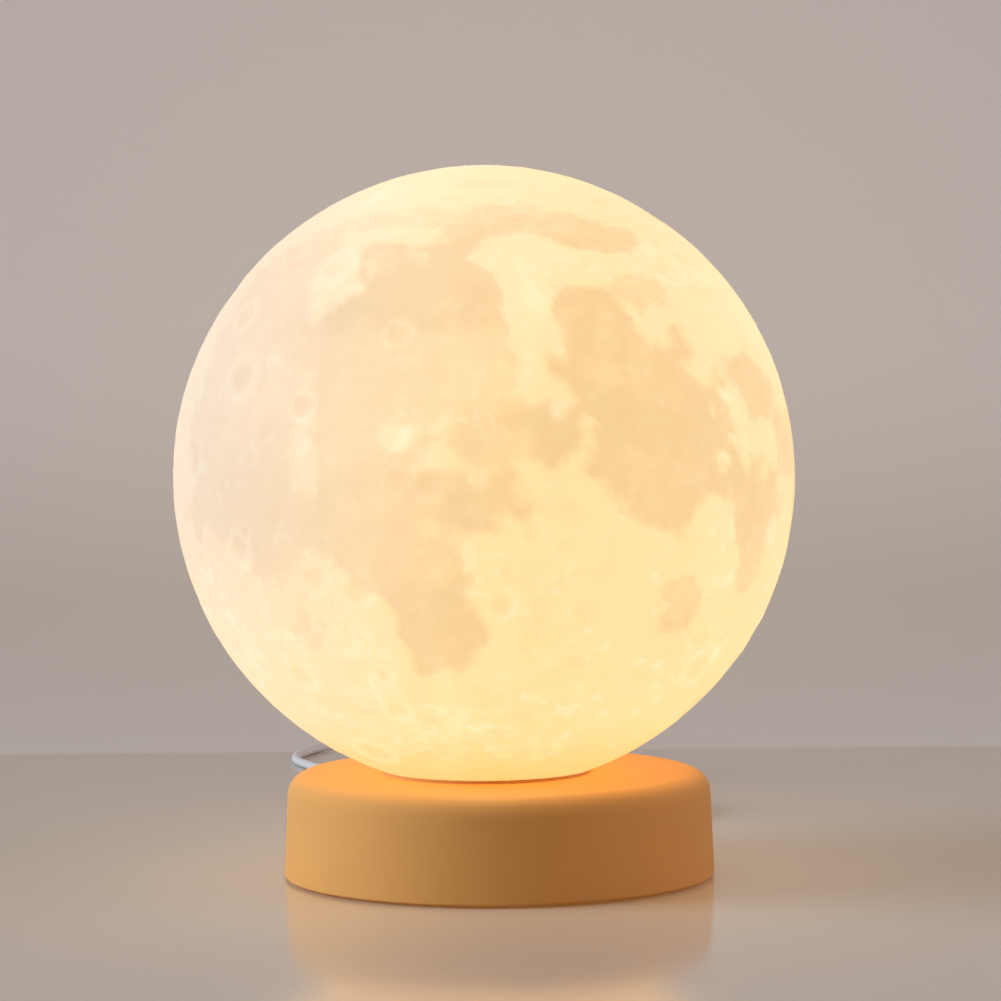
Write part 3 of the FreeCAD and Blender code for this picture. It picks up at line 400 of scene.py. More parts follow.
def linear(red, green, blue):
    """A colour written as on a paint chart, 0 to 255, as the linear one that shaders use."""
    return tuple(
        c / 12.92 / 255 if c <= 10.3 else ((c / 255 + 0.055) / 1.055) ** 2.4 for c in (red, green, blue)
    )


# ---- Finishes ----
def moulded_plastic(name, colour, roughness, grain=0.5 * MM):
    """Injection-moulded plastic: a fine spark-eroded texture and hardly any drift of colour."""
    finish = Finish(name, colour, roughness)
    drift = finish.grain(30 * MM, 2)
    darker = tuple(c * 0.93 for c in colour)
    finish.drive("Base Color", finish.blend(drift, darker, colour))
    fine = finish.grain(grain, 3, 0.6)
    finish.drive("Roughness", fine * 0.10 + (roughness - 0.05))
    finish.bump(fine, 0.02 * MM)
    return finish


def metal(name, colour, roughness, grain=0.6 * MM, stretch=(1.0, 1.0, 1.0)):
    """Plain sheet or turned metal, with fine marks stretched along its working direction."""
    finish = Finish(name, colour, roughness, metallic=1.0)
    marks = finish.grain(grain, 4, 0.6, stretch)
    stains = finish.grain(12 * MM, 3)
    dull = tuple(c * 0.82 for c in colour)
    finish.drive("Base Color", finish.blend(stains, dull, colour))
    finish.drive("Roughness", marks * 0.22 + (roughness - 0.11))
    finish.bump(marks, 0.008 * MM)
    return finish


def circuit_board(name, colour, trace):
    """Lacquered board: a glossy coat, with the copper tracks just lighter under it."""
    finish = Finish(name, colour, 0.32, coat_weight=0.4)
    tracks = finish.stepped(finish.cells(2.6 * MM), 0.62, 0.70)
    finish.drive("Base Color", finish.blend(tracks * 0.8, colour, trace))
    finish.bump(tracks, 0.03 * MM)
    return finish


def lit_window(name, colour, glow, strength):
    """Frosted plastic with the light chips behind it, a little darker in soft patches."""
    finish = Finish(name, colour, 0.55, emission_strength=strength)
    frost = finish.grain(0.5 * MM, 3, 0.6)
    edge = tuple(c * 0.72 for c in glow)
    finish.drive("Emission Color", finish.blend(frost * 0.5 + finish.grain(9 * MM) * 0.4, glow, edge))
    finish.drive("Roughness", frost * 0.2 + 0.45)
    finish.bump(frost, 0.02 * MM)
    return finish


# ---- The camera and the lead ----
def flat_heading(degrees):
    return Vector((math.cos(math.radians(degrees)), math.sin(math.radians(degrees)), 0.0))


def coil_points():
    """The turns of the coil: in along the lower layer, one half turn that climbs, and out along the upper."""
    radius = COIL_DIAMETER / 2
    low = LEAD_DIAMETER / MM / 2
    high = low + COIL_PITCH
    radii = [radius - COIL_PITCH / 2 * i for i in range(COIL_HALF_TURNS + 1)]
    radii += radii[-2::-1]
    heights = [low] * (COIL_HALF_TURNS + 1) + [high] * (COIL_HALF_TURNS + 1)
    start = COIL_X - radius
    points = []
    for i, r in enumerate(radii):
        side = -1 if i % 2 == 0 else 1
        for step in range(COIL_POINTS):
            part = step / COIL_POINTS
            angle = math.pi * part
            points.append((
                start - side * r * (1 - math.cos(angle)),
                COIL_Y + side * r * math.sin(angle),
                heights[i] + (heights[i + 1] - heights[i]) * part,
            ))
        start -= 2 * side * r
    points.append((start, COIL_Y, high))
    return points


def lead_points():
    """The whole route of the lead in millimetres, through the coil and the switch to the plug."""
    back = Vector((0.0, 1.0, 0.0))
    leave = Vector(LEAD_EXIT)
    turns = [Vector(p) for p in coil_points()]
    short = LEAD_DIAMETER / MM
    into_coil = turns[0] + back * short
    out_of_coil = turns[-1] + back * short
    along = flat_heading(SWITCH_HEADING)
    switch_in = Vector(SWITCH_PLACE) - along * SWITCH_REACH
    switch_out = Vector(SWITCH_PLACE) + along * SWITCH_REACH
    tail = flat_heading(PLUG_HEADING)
    plug_in = Vector(PLUG_PLACE) - tail * PLUG_REACH
    points = [leave, leave + back * LEAD_GUIDE, *LEAD_TO_COIL, into_coil + back * LEAD_GUIDE, into_coil]
    points += turns
    points += [out_of_coil, out_of_coil + back * LEAD_GUIDE, *LEAD_TO_SWITCH, switch_in - along * LEAD_GUIDE]
    points += [switch_in, switch_out, switch_out + along * LEAD_GUIDE, *LEAD_TO_PLUG]
    points += [plug_in - tail * LEAD_GUIDE, plug_in]
    return [Vector(p) * MM for p in points]


def make_lead():
    """The free lead, one smooth line from the strain relief to the plug."""
    curve = bpy.data.curves.new("supply_lead", "CURVE")
    curve.dimensions = "3D"
    curve.bevel_depth = LEAD_DIAMETER / 2
    curve.bevel_resolution = 4
    curve.resolution_u = 6
    curve.use_fill_caps = True
    points = lead_points()
    spline = curve.splines.new("NURBS")
    spline.points.add(len(points) - 1)
    for point, place in zip(spline.points, points):
        point.co = (*place, 1.0)
    spline.order_u = 3
    spline.use_endpoint_u = True
    lead = bpy.data.objects.new("supply_lead", curve)
    bpy.context.scene.collection.objects.link(lead)
    return lead


# ---- The globe ----
def moon_way(latitude, longitude, turn):
    """The direction of a place of the map from the middle of the globe, in the lamp's frame."""
    la, lo = math.radians(latitude), math.radians(longitude)
    way = Vector((math.cos(la) * math.sin(lo), -math.cos(la) * math.cos(lo), math.sin(la)))
    return turn @ way


def map_axes(latitude, longitude, turn):
    """The way to a place of the map, and the ways east and north from there."""
    centre = moon_way(latitude, longitude, turn)
    east = moon_way(0.0, longitude + 90.0, turn)
    return np.array(centre), np.array(east), np.array(centre.cross(east))


def smooth_step(low, high, values):
    t = np.clip((values - low) / (high - low), 0.0, 1.0)
    return t * t * (3 - 2 * t)


def rough_field(ways, scale, octaves, seed):
    """Fractal noise of about -1 to 1 at each direction."""
    shift = Vector((seed * 7.3, seed * 3.1, seed * 5.7))
    return np.array([noise.fractal(Vector(w) * scale + shift, 0.9, 2.1, octaves) for w in ways])


def spread(ways, latitude, longitude, half_width, half_height, turn):
    """A soft oval patch of the map: 1 in its middle, and the same low level all round its rim."""
    centre, east, north = map_axes(latitude, longitude, turn)
    ahead = ways @ centre
    x = np.degrees(np.arctan2(ways @ east, ahead)) / half_width
    y = np.degrees(np.arctan2(ways @ north, ahead)) / half_height
    return np.exp(-SEA_EDGE * (x * x + y * y))


def seas_at(ways, turn):
    """How dark the map is at each direction, from 0 on the highlands to about 1 on the darkest sea."""
    broad = rough_field(ways, *BROAD_NOISE)
    fine = rough_field(ways, *FINE_NOISE)
    reach = np.zeros(len(ways))
    shade = np.zeros(len(ways))
    for _, *oval, depth in SEAS:
        share = spread(ways, *oval, turn)
        reach += share
        shade += share * depth
    shade /= np.maximum(reach, 1e-6)
    for *oval, height in MOUNTAINS:
        reach -= height * spread(ways, *oval, turn)
    coast = reach * (1 + 0.35 * broad) + 0.14 * broad + 0.26 * fine
    level = math.exp(-SEA_EDGE)
    inside = smooth_step(level * 0.55, level * 1.45, coast)
    skirt = smooth_step(-0.10, level, coast + 0.10 * fine)
    return (0.80 * inside + 0.20 * skirt) * shade * (1 + 0.28 * fine + 0.20 * broad)


def craters(count, turn):
    """The young craters of the map, then scattered ones: direction, radius in metres, and how fresh."""
    chance = random.Random(CRATER_SEED)
    found = []
    for latitude, longitude, radius, _ in YOUNG_CRATERS:
        way = moon_way(latitude, longitude, turn)
        found.append((way, math.radians(radius * YOUNG_BOWL) * GLOBE_RADIUS, 1.0))
    for _ in range(count):
        z = chance.uniform(-1, 1)
        angle = chance.uniform(0, 2 * math.pi)
        level = math.sqrt(1 - z * z)
        way = Vector((level * math.cos(angle), level * math.sin(angle), z))
        radius = (SMALLEST_CRATER + CRATER_SPREAD * chance.random() ** CRATER_BIAS) * MM
        found.append((way, radius, chance.uniform(OLDEST_CRATER, 1.0)))
    return found


def relief_at(ways, dark, count, turn):
    """The height of the relief in metres, and a painted highlight on each crater's rim with painted shade in
    its bowl.
    """
    height = RIDGES * rough_field(ways, *RIDGE_NOISE) + ROUGHNESS * rough_field(ways, *ROUGH_NOISE)
    height *= 1 - SEA_CALM * np.clip(dark, 0, 1)
    height -= SEA_DEPTH * np.clip(dark, 0, 1)
    crater_highlight_and_shade = np.zeros(len(ways))
    for way, radius, fresh in craters(count, turn):
        way = np.array(way)
        near = np.nonzero(ways @ way > math.cos(CRATER_REACH * radius / GLOBE_RADIUS))[0]
        if len(near) == 0:
            continue
        x = np.arccos(np.clip(ways[near] @ way, -1, 1)) * GLOBE_RADIUS / radius
        depth = min(DEEPEST_BOWL, BOWL_SLOPE * radius / MM) * fresh
        depth *= 1 - SEA_FILL * np.clip(dark[near], 0, 1)
        bowl = -depth * (1 - smooth_step(0.35, 1.0, x))
        rim = RIM_SHARE * depth * np.exp(-((x - 1.0) / 0.22) ** 2)
        height[near] += bowl + rim
        # painted highlight on the rim and painted shade in the bowl, to show the crater's relief in the glow
        shade = np.exp(-((x - 0.95) / 0.25) ** 2) - 0.7 * (1 - smooth_step(0.3, 0.9, x))
        crater_highlight_and_shade[near] += fresh * shade * depth / DEEPEST_BOWL
    return height * MM, crater_highlight_and_shade


def rays_at(ways, turn):
    """The bright splashes of the young craters and the speckled mountains, from 0 to 1."""
    bright = np.zeros(len(ways))
    wander = rough_field(ways, *WANDER_NOISE)
    speckle = smooth_step(-0.15, 0.55, rough_field(ways, *SPECKLE_NOISE))
    for *oval, height in MOUNTAINS:
        bright = np.maximum(bright, height * speckle * spread(ways, *oval, turn))
    for latitude, longitude, radius, reach in YOUNG_CRATERS:
        centre, east, north = map_axes(latitude, longitude, turn)
        far = np.degrees(np.arccos(np.clip(ways @ centre, -1, 1)))
        heading = np.arctan2(ways @ north, ways @ east)
        spokes = 0.5 + 0.5 * np.sin(heading * 7 + wander * 3.0 + latitude)
        spokes = np.maximum(spokes, 0.5 + 0.5 * np.sin(heading * 11 + wander * 2.0 + longitude)) ** 3
        splash = np.exp(-(far / (radius * (1.1 + 0.9 * wander))) ** 2)
        rays = 0.55 * spokes * np.exp(-far / (reach * 0.6))
        bright = np.maximum(bright, splash + rays * (1 + wander))
    return np.clip(bright, 0, 1)


def paint(piece, name, values):
    """Keeps a number for each point of a mesh, for its finish to read."""
    layer = piece.data.attributes.new(name, "FLOAT", "POINT")
    layer.data.foreach_set("value", np.asarray(values, np.float32))


def sphere_of_squares(radius, levels):
    """A sphere of even square faces round the middle of the globe, made from a cube."""
    start_clean()
    bpy.ops.mesh.primitive_cube_add(size=radius * 1.2)
    bpy.ops.object.mode_set(mode="EDIT")
    bpy.ops.mesh.subdivide(number_cuts=BALL_CUTS)
    bpy.ops.object.mode_set(mode="OBJECT")
    ball = bpy.context.object
    for kind in ("CAST", "SUBSURF", "CAST"):
        modifier = ball.modifiers.new(kind.lower(), kind)
        if kind == "CAST":
            modifier.factor = 1.0
            modifier.use_radius_as_size = False
            modifier.size = radius
        else:
            modifier.levels = levels
            modifier.render_levels = levels
    apply_modifiers(ball)
    ball.location = GLOBE_CENTRE
    bpy.ops.object.transform_apply(location=True)
    return ball


def cut_below(piece, level):
    """Cuts off all that lies under a level and leaves the cut open."""
    bpy.ops.object.mode_set(mode="EDIT")
    bpy.ops.mesh.select_all(action="SELECT")
    bpy.ops.mesh.bisect(plane_co=(0, 0, level), plane_no=(0, 0, 1), clear_inner=True)
    bpy.ops.mesh.select_all(action="SELECT")
    bpy.ops.mesh.remove_doubles(threshold=0.02 * MM)
    bpy.ops.object.mode_set(mode="OBJECT")


def make_globe(sizes):
    """The printed shell: relief outside, a plain wall inside, and the flat mouth it stands on."""
    turn = Matrix.Rotation(sizes.turn, 3, "Z")
    inside_radius = GLOBE_RADIUS - SHELL_WALL
    bore_top = GLOBE_CENTRE.z - math.sqrt(inside_radius ** 2 - BORE_RADIUS ** 2)
    lining = sphere_of_squares(inside_radius, LINING_LEVELS)
    cut_below(lining, bore_top)
    bpy.ops.object.mode_set(mode="EDIT")
    bpy.ops.mesh.select_all(action="SELECT")
    bpy.ops.mesh.flip_normals()
    bpy.ops.object.mode_set(mode="OBJECT")
    skin = sphere_of_squares(GLOBE_RADIUS, SKIN_LEVELS)
    cut_below(skin, GLOBE_CUT)
    named("moon_globe")

    # the flat ring under the shell, and the bore for the mouth ring
    flat_radius = math.sqrt(GLOBE_RADIUS ** 2 - (GLOBE_CENTRE.z - GLOBE_CUT) ** 2)
    share = BORE_RADIUS / flat_radius
    bpy.ops.object.mode_set(mode="EDIT")
    select_edges(skin, lambda e: e.is_boundary)
    bpy.ops.mesh.extrude_edges_move()
    bpy.ops.transform.resize(value=(share, share, 1.0), center_override=(*GLOBE_CENTRE.xy, GLOBE_CUT))
    bpy.ops.mesh.extrude_edges_move(TRANSFORM_OT_translate={"value": (0, 0, bore_top - GLOBE_CUT - 0.1 * MM)})
    bpy.ops.object.mode_set(mode="OBJECT")
    lining.select_set(True)
    bpy.ops.object.join()
    bpy.ops.object.mode_set(mode="EDIT")
    select_edges(skin, lambda e: e.is_boundary)
    bpy.ops.mesh.bridge_edge_loops()
    bpy.ops.mesh.select_all(action="SELECT")
    bpy.ops.mesh.normals_make_consistent(inside=False)
    bpy.ops.object.mode_set(mode="OBJECT")

    mesh = skin.data
    points = np.empty(len(mesh.vertices) * 3, np.float32)
    mesh.vertices.foreach_get("co", points)
    points = points.reshape(-1, 3).astype(float)
    centre = np.array(GLOBE_CENTRE)
    spokes = points - centre
    reach = np.linalg.norm(spokes, axis=1)
    ways = spokes / reach[:, None]
    dark = seas_at(ways, turn)
    relief, crater_highlight_and_shade = relief_at(ways, dark, sizes.crater_count, turn)
    outer = reach > GLOBE_RADIUS - SHELL_WALL / 2
    calm = smooth_step(0.0, CALM_FOOT * MM, points[:, 2] - GLOBE_CUT)
    inward = np.minimum(relief * sizes.relief - SKIN_INSET * MM, 0) * calm * outer
    points += ways * inward[:, None]
    mesh.vertices.foreach_set("co", points.astype(np.float32).ravel())
    paint(skin, "sea", np.clip(dark, 0, 1))
    paint(skin, "ray", rays_at(ways, turn))
    # the painted highlight on crater rims and painted shade in their bowls
    paint(skin, "rim", crater_highlight_and_shade)
    mesh.update()
    bpy.ops.object.shade_smooth_by_angle(angle=math.radians(50))
    return skin


def moon_print(sizes):
    """White printed plastic, lit from inside: pale highlands, deeper seas, and the lines of the print."""
    finish = Finish("moon_print", sizes.shell_colour, 0.62, emission_strength=sizes.glow)
    sea = finish.painted("sea")
    ray = finish.painted("ray")
    # rim: the painted highlight on crater rims and painted shade in their bowls
    rim = finish.painted("rim")
    height = finish.axis(2)
    mottle = finish.grain(14 * MM, 8, 0.66)
    speck = finish.grain(3.0 * MM, 5, 0.62)
    stain = finish.grain(32 * MM, 4, 0.6)

    # daylight and the light inside balance differently over the globe: whiter above, deeper below
    upward = finish.stepped(height, GLOBE_CUT, GLOBE_CENTRE.z + GLOBE_RADIUS)
    land = finish.blend(upward, sizes.low_colour, sizes.highland_colour)
    foot = finish.stepped(height, GLOBE_CUT + 20 * MM, GLOBE_CUT - 2 * MM)
    land = finish.blend(foot, land, sizes.foot_colour)

    # the print lies in flat layers, so it is streaked where the wall leans most, near top and bottom
    lean = finish.stepped(
        (height - GLOBE_CENTRE.z).math("ABSOLUTE"), 0.45 * GLOBE_RADIUS, 0.95 * GLOBE_RADIUS)
    streak = finish.grain(2.4 * MM, 4, 0.6, (0.2, 0.2, 1.0))
    depth = sea * 1.02 + (mottle - 0.5) * 0.85 + (speck - 0.5) * 0.40 + (stain - 0.5) * 0.55
    # the painted shade in crater bowls darkens the glow here, and the painted highlight on their rims
    # lightens it
    depth = (depth + (streak - 0.5) * lean * 1.1 - rim * 0.22).clipped()
    glow = finish.blend(depth, land, sizes.sea_colour)

    # bright rays and specks, most of them on the highlands, a painted highlight on crater rims, and small
    # dark pits
    patches = finish.stepped(mottle * 0.5 + speck * 0.5, 0.50, 0.62)
    patches = patches * (sea * -0.8 + 1) * (foot * -0.9 + 1)
    glow = finish.blend((ray * 0.55 + rim * 0.27 + patches * 0.55).clipped(), glow, sizes.ray_colour)
    pits = finish.stepped(finish.cells(6.0 * MM), 0.09, 0.03) * finish.stepped(mottle, 0.55, 0.62)
    glow = finish.blend(pits * 0.30, glow, sizes.pit_colour)

    # the glow looks weaker where the window's daylight falls on it
    window_side = finish.stepped(finish.axis(0) * -1, 10 * MM, GLOBE_RADIUS)
    upper = finish.stepped(height, GLOBE_CENTRE.z - 0.6 * GLOBE_RADIUS, GLOBE_CENTRE.z)
    loss = window_side * (upper * 0.5 + 0.5) * sizes.window_loss
    finish.drive("Emission Color", finish.blend(loss, glow, (0.0, 0.0, 0.0)))
    finish.drive("Base Color", finish.blend(depth * 0.5, sizes.shell_colour, sizes.worn_colour))
    lines = finish.grain(0.7 * MM, 2, 0.5, (0.06, 0.06, 1.0))
    finish.bump(speck * 0.5 + lines * 0.35 + mottle * 0.4, 0.25 * MM, 0.6)
    return finish.material


# ---- The studio ----
def make_floor(sizes):
    """A plain table top that sweeps up into a wall behind the lamp."""
    start_clean()
    front, back = TABLE_FRONT, sizes.wall_distance
    bpy.ops.mesh.primitive_plane_add(size=1.0)
    floor = named("studio_floor")
    floor.scale = (TABLE_WIDTH, back - front, 1.0)
    floor.location = (0.0, (front + back) / 2, 0.0)
    bpy.ops.object.transform_apply(location=True, scale=True)
    bpy.ops.object.mode_set(mode="EDIT")
    select_edges(floor, lambda e: all(v.co.y > back - 0.001 for v in e.verts))
    bpy.ops.mesh.extrude_edges_move(TRANSFORM_OT_translate={"value": (0, 0, WALL_HEIGHT)})
    select_edges(floor, lambda e: all(v.co.y > back - 0.001 and v.co.z < 0.001 for v in e.verts))
    bpy.ops.mesh.bevel(offset=sizes.sweep, segments=16, profile=0.5)
    bpy.ops.object.mode_set(mode="OBJECT")
    bpy.ops.object.shade_smooth()
    finish = Finish("studio_paint", sizes.floor_colour, 0.2, emission_strength=sizes.wall_glow)
    finish.drive("Specular IOR Level", 0.85)
    line = sizes.wall_line
    behind = finish.stepped(finish.axis(1), line - WALL_LINE_BLUR, line + WALL_LINE_BLUR)
    # painted shade: the wall's colour and its glow are painted darker towards the table, for the shade at the
    # wall's foot
    high = finish.stepped(finish.axis(2), WALL_SHADE_LOW, WALL_SHADE_HIGH)
    wall = finish.blend(high, sizes.shaded_wall_foot_colour, sizes.wall_colour)
    finish.drive("Base Color", finish.blend(behind, sizes.floor_colour, wall))
    finish.drive("Emission Color", finish.blend(behind, (0.0, 0.0, 0.0), wall))
    finish.drive("Roughness", behind * 0.5 + finish.grain(60 * MM, 3) * 0.05 + 0.11)
    finish.clear_from_behind()
    floor.data.materials.append(finish.material)


def add_glow(power, colour):
    """The share of the globe's light that the picture is too short of range to show: it casts no shadows."""
    data = bpy.data.lights.new("globe_light", "POINT")
    data.energy = power
    data.color = colour
    data.shadow_soft_size = 0.02
    data.use_shadow = False
    lamp = bpy.data.objects.new("globe_light", data)
    bpy.context.scene.collection.objects.link(lamp)
    lamp.location = GLOBE_CENTRE


def add_daylight(name, heading, rise, width, strength, colour):
    """Soft light from far off: its heading from the front to the right, its rise and width, in degrees."""
    data = bpy.data.lights.new(name, "SUN")
    data.energy = strength
    data.angle = math.radians(width)
    data.color = colour
    lamp = bpy.data.objects.new(name, data)
    bpy.context.scene.collection.objects.link(lamp)
    lamp.rotation_euler = (math.radians(90 - rise), 0.0, math.radians(heading))
    lamp.visible_glossy = False      # or the table would glare when seen from the side


def make_surroundings(sizes):
    """Even warm light from all round; past the edge of the wall the camera sees the wall's own tone."""
    world = bpy.data.worlds.new("surroundings")
    world.use_nodes = True
    tree = world.node_tree
    mix = tree.nodes.new("ShaderNodeMix")
    mix.data_type = "RGBA"
    mix.inputs[6].default_value = (*(c * sizes.fill for c in sizes.fill_colour), 1.0)
    mix.inputs[7].default_value = (*(c * FAR_WALL_TONE for c in sizes.wall_colour), 1.0)
    tree.links.new(tree.nodes.new("ShaderNodeLightPath").outputs["Is Camera Ray"], mix.inputs[0])
    tree.links.new(mix.outputs[2], tree.nodes["Background"].inputs["Color"])
    return world


# ---- Settings ----
def length(title, text, default):
    return bpy.props.FloatProperty(name=title, description=text, default=default, min=0.0, subtype="DISTANCE",
                                   unit="LENGTH")


def colour(title, text, *shade):
    return bpy.props.FloatVectorProperty(name=title, description=text, default=linear(*shade), size=3,
                                         min=0.0, max=1.0, subtype="COLOR")


class MoonSettings(bpy.types.PropertyGroup):
    turn: bpy.props.FloatProperty(
        name="Turn", description="How far the printed map is turned to the right", default=math.radians(4.5),
        subtype="ANGLE", unit="ROTATION")
    relief: bpy.props.FloatProperty(
        name="Relief", description="Strength of the printed relief", default=1.0, min=0.0, max=1.0,
        subtype="FACTOR")
    crater_count: bpy.props.IntProperty(
        name="Craters", description="Number of scattered craters", default=520, min=0)
    glow: bpy.props.FloatProperty(
        name="Glow", description="Strength of the light through the shell", default=1.02, min=0.0)
    window_loss: bpy.props.FloatProperty(
        name="Window side", description="How much weaker the glow looks at the side of the daylight",
        default=0.30, min=0.0, max=1.0, subtype="FACTOR")
    shell_colour: colour("Shell", "The printed plastic itself", 146, 151, 167)
    worn_colour: colour("Shell, thick", "The plastic where the print is thick", 136, 137, 148)
    highland_colour: colour("Highlands", "Light through the pale highlands at the top", 255, 217, 152)
    low_colour: colour("Highlands, low", "Light through the pale highlands near the base", 255, 212, 137)
    foot_colour: colour("Foot", "Light through the shell just above the base", 255, 190, 116)
    sea_colour: colour("Seas", "Light through the dark seas", 232, 193, 125)
    ray_colour: colour("Rays", "Light through the bright young craters", 255, 231, 176)
    pit_colour: colour("Pits", "Light through small thick spots", 204, 151, 99)


class HousingSettings(bpy.types.PropertyGroup):
    cover_colour: colour("Cover", "The moulded cover and plate of the base", 227, 168, 98)
    ring_colour: colour("Mouth ring", "The ring that the globe stands on", 204, 162, 104)
    rubber_colour: colour("Rubber", "The non-slip ring", 46, 44, 43)
    zinc_colour: colour("Zinc", "The plated screws and the steel weight", 198, 200, 202)


class LightSettings(bpy.types.PropertyGroup):
    white_colour: colour("White parts", "White plastic and lacquer of the light unit", 236, 234, 228)
    phosphor_colour: colour("Light chips", "The yellow face of the light chips", 250, 214, 96)
    glow_colour: colour("Light", "The light of the frosted window", 255, 214, 150)
    window_glow: bpy.props.FloatProperty(
        name="Window glow", description="Strength of the light in the frosted window", default=1.2, min=0.0)
    lacquer_colour: colour("Driver board", "Green lacquer of the driver board", 16, 92, 52)
    track_colour: colour("Tracks", "Lacquer over the copper tracks", 44, 132, 78)


class LeadSettings(bpy.types.PropertyGroup):
    whole_length: length("Length", "Real length of the supply lead", 1.5)
    jacket_colour: colour("Jacket", "The sleeve of the lead and its mouldings", 224, 225, 230)
    switch_colour: colour("Switch", "The case and rocker of the switch", 228, 228, 226)


class StudioSettings(bpy.types.PropertyGroup):
    wall_distance: length("Wall distance", "How far behind the lamp the wall stands", 0.40)
    sweep: length("Sweep", "Radius of the sweep from table to wall", 0.05)
    floor_colour: colour("Table", "The table top", 202, 194, 186)
    wall_colour: colour("Wall", "The wall behind", 224, 221, 222)
    # painted shade: the darker colour of the wall close to the table
    shaded_wall_foot_colour: colour("Wall foot", "The wall close to the table", 186, 180, 174)
    wall_glow: bpy.props.FloatProperty(
        name="Wall light", description="Strength of the even light on the wall", default=0.20, min=0.0)
    wall_line: length("Wall line", "How far behind the lamp the table turns into wall colour", 0.304)
    window_light: bpy.props.FloatProperty(
        name="Window light", description="Strength of the daylight from the left", default=3.3, min=0.0)
    room_light: bpy.props.FloatProperty(
        name="Room light", description="Strength of the weaker light from the right", default=0.84, min=0.0)
    globe_light: bpy.props.FloatProperty(
        name="Globe light", description="Power of the globe's light on what stands round it", default=0.20,
        min=0.0, subtype="POWER", unit="POWER")
    fill: bpy.props.FloatProperty(
        name="Fill", description="Strength of the warm light from all round", default=0.185, min=0.0)
    fill_colour: colour("Fill colour", "The warm light from all round", 255, 216, 160)


# ---- Operators ----
class LAMP_OT_camera(bpy.types.Operator):
    """Sets up the camera in front of the lamp"""
    bl_idname = "lamp.camera"
    bl_label = "Camera"

    def execute(self, context):
        data = bpy.data.cameras.new("camera")
        data.lens = CAMERA_LENS
        camera = bpy.data.objects.new("camera", data)
        context.scene.collection.objects.link(camera)
        pitch = Matrix.Rotation(math.radians(90 - CAMERA_PITCH), 4, "X")
        roll = Matrix.Rotation(math.radians(CAMERA_ROLL), 4, "Z")
        camera.matrix_world = Matrix.Translation(CAMERA_PLACE) @ pitch @ roll
        context.scene.camera = camera
        return {"FINISHED"}


class LAMP_OT_lead(bpy.types.Operator):
    """Lays the supply lead with its coil, switch and plug"""
    bl_idname = "lamp.lead"
    bl_label = "Supply lead"

    def execute(self, context):
        sizes = context.scene.moon_lamp_lead
        lead = make_lead()
        jacket = moulded_plastic("lead_jacket", sizes.jacket_colour, 0.42, 1.5 * MM).material
        lead.data.materials.append(jacket)
        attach(lead, "base")
        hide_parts("lead_to_coil", "lead_coil", "lead_to_switch", "lead_to_plug")
        dress(jacket, "strain_relief", "plug_grip")
        case = moulded_plastic("switch_plastic", sizes.switch_colour, 0.38).material
        dress(case, "switch_top", "switch_bottom", "switch_rocker", "plug_tongue")
        dress(metal("brass", linear(216, 178, 102), 0.32).material, "switch_contacts")
        dress(metal("plug_steel", linear(196, 195, 190), 0.26).material, "plug_shell")
        dress(metal("gilt", linear(232, 192, 104), 0.24).material, "plug_pins")
        return {"FINISHED"}


class LAMP_OT_globe(bpy.types.Operator):
    """Makes the printed moon with its relief and its map"""
    bl_idname = "lamp.globe"
    bl_label = "Moon globe"

    def execute(self, context):
        sizes = context.scene.moon_lamp_globe
        globe = make_globe(sizes)
        globe.data.materials.append(moon_print(sizes))
        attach(globe, "globe")
        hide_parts("globe_shell")
        ring = context.scene.moon_lamp_housing.ring_colour
        dress(moulded_plastic("ring_plastic", ring, 0.5).material, "mouth_ring")
        return {"FINISHED"}


class LAMP_OT_housing(bpy.types.Operator):
    """Gives the base, its weight and its screws their finishes"""
    bl_idname = "lamp.housing"
    bl_label = "Base"

    def execute(self, context):
        sizes = context.scene.moon_lamp_housing
        cover = moulded_plastic("tan_plastic", sizes.cover_colour, 0.58)
        cover.drive("Specular IOR Level", 0.22)
        dress(cover.material, "base_cover", "bottom_plate")
        dress(moulded_plastic("rubber", sizes.rubber_colour, 0.8, 0.8 * MM).material, "rubber_ring")
        screws = [n for n in NODES if n.endswith("_screws")]
        dress(metal("zinc_steel", sizes.zinc_colour, 0.34).material, *screws)
        turned = metal("ballast_steel", tuple(c * 0.6 for c in sizes.zinc_colour), 0.42, 1.0 * MM, (1, 1, 6))
        dress(turned.material, "ballast_ring")
        return {"FINISHED"}


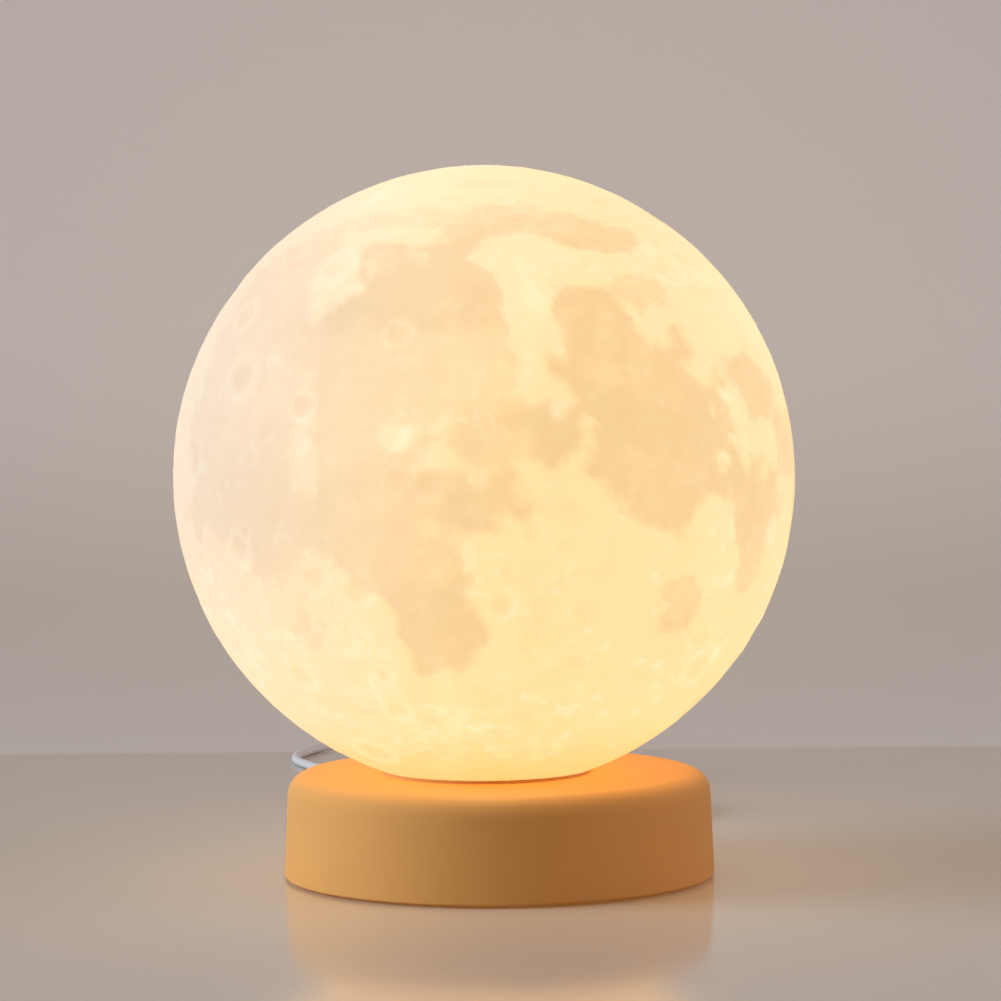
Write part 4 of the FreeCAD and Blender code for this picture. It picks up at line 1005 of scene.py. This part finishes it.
class LAMP_OT_light_unit(bpy.types.Operator):
    """Gives the light unit and its driver their finishes"""
    bl_idname = "lamp.light_unit"
    bl_label = "Light unit"

    def execute(self, context):
        sizes = context.scene.moon_lamp_light
        white = sizes.white_colour
        dress(lit_window("frosted_lens", white, sizes.glow_colour, sizes.window_glow).material, "lens")
        phosphor = sizes.phosphor_colour
        dress(lit_window("led_phosphor", phosphor, phosphor, 1.0).material, "led_chips")
        dress(moulded_plastic("white_plastic", white, 0.45).material, "reflector_ring", "supply_connector")
        dress(circuit_board("white_board", white, tuple(c * 0.9 for c in white)).material, "led_board")
        dress(circuit_board("green_board", sizes.lacquer_colour, sizes.track_colour).material, "driver_board")
        dress(metal("aluminium", (0.80, 0.80, 0.81), 0.36, 0.5 * MM, (0.1, 1.0, 1.0)).material,
              "heat_spreader", "driver_capacitor")
        dress(moulded_plastic("black_plastic", linear(38, 38, 40), 0.5).material, "driver_chip")
        dress(moulded_plastic("ferrite", linear(70, 68, 66), 0.7, 0.3 * MM).material, "driver_inductor")
        dress(moulded_plastic("wire_jacket", linear(214, 60, 48), 0.4).material, "led_wires", "supply_wires")
        return {"FINISHED"}


class LAMP_OT_studio(bpy.types.Operator):
    """Sets up the table, the wall and the soft lamps"""
    bl_idname = "lamp.studio"
    bl_label = "Studio"

    def execute(self, context):
        sizes = context.scene.moon_lamp_studio
        make_floor(sizes)
        add_daylight(
            "window_light", heading=-86, rise=18, width=40,
            strength=sizes.window_light, colour=(0.73, 0.86, 1.0))
        add_daylight(
            "room_light", heading=82, rise=25, width=40,
            strength=sizes.room_light, colour=(1.0, 0.85, 0.95))
        add_glow(sizes.globe_light, colour=(1.0, 0.62, 0.20))
        context.scene.world = make_surroundings(sizes)
        context.scene.view_settings.view_transform = "Standard"
        return {"FINISHED"}


class LAMP_PT_panel(bpy.types.Panel):
    """Lists the steps that build the lamp"""
    bl_idname = "LAMP_PT_panel"
    bl_label = "Moon lamp"
    bl_space_type = "VIEW_3D"
    bl_region_type = "UI"
    bl_category = "Moon lamp"

    def draw(self, context):
        for step in STEPS:
            self.layout.operator(step.bl_idname)


SETTINGS = {
    "moon_lamp_globe": MoonSettings,
    "moon_lamp_housing": HousingSettings,
    "moon_lamp_light": LightSettings,
    "moon_lamp_lead": LeadSettings,
    "moon_lamp_studio": StudioSettings,
}
STEPS = [LAMP_OT_camera, LAMP_OT_lead, LAMP_OT_globe, LAMP_OT_housing, LAMP_OT_light_unit, LAMP_OT_studio]
CLASSES = [*SETTINGS.values(), *STEPS, LAMP_PT_panel]


def register():
    for kind in CLASSES:
        bpy.utils.register_class(kind)
    for name, kind in SETTINGS.items():
        setattr(bpy.types.Scene, name, bpy.props.PointerProperty(type=kind))


def unregister():
    for name in SETTINGS:
        delattr(bpy.types.Scene, name)
    for kind in reversed(CLASSES):
        bpy.utils.unregister_class(kind)


def main():
    register()
    bpy.ops.lamp.camera()
    bpy.ops.lamp.lead()
    bpy.ops.lamp.globe()
    bpy.ops.lamp.housing()
    bpy.ops.lamp.light_unit()
    bpy.ops.lamp.studio()


if __name__ == "__main__":
    main()
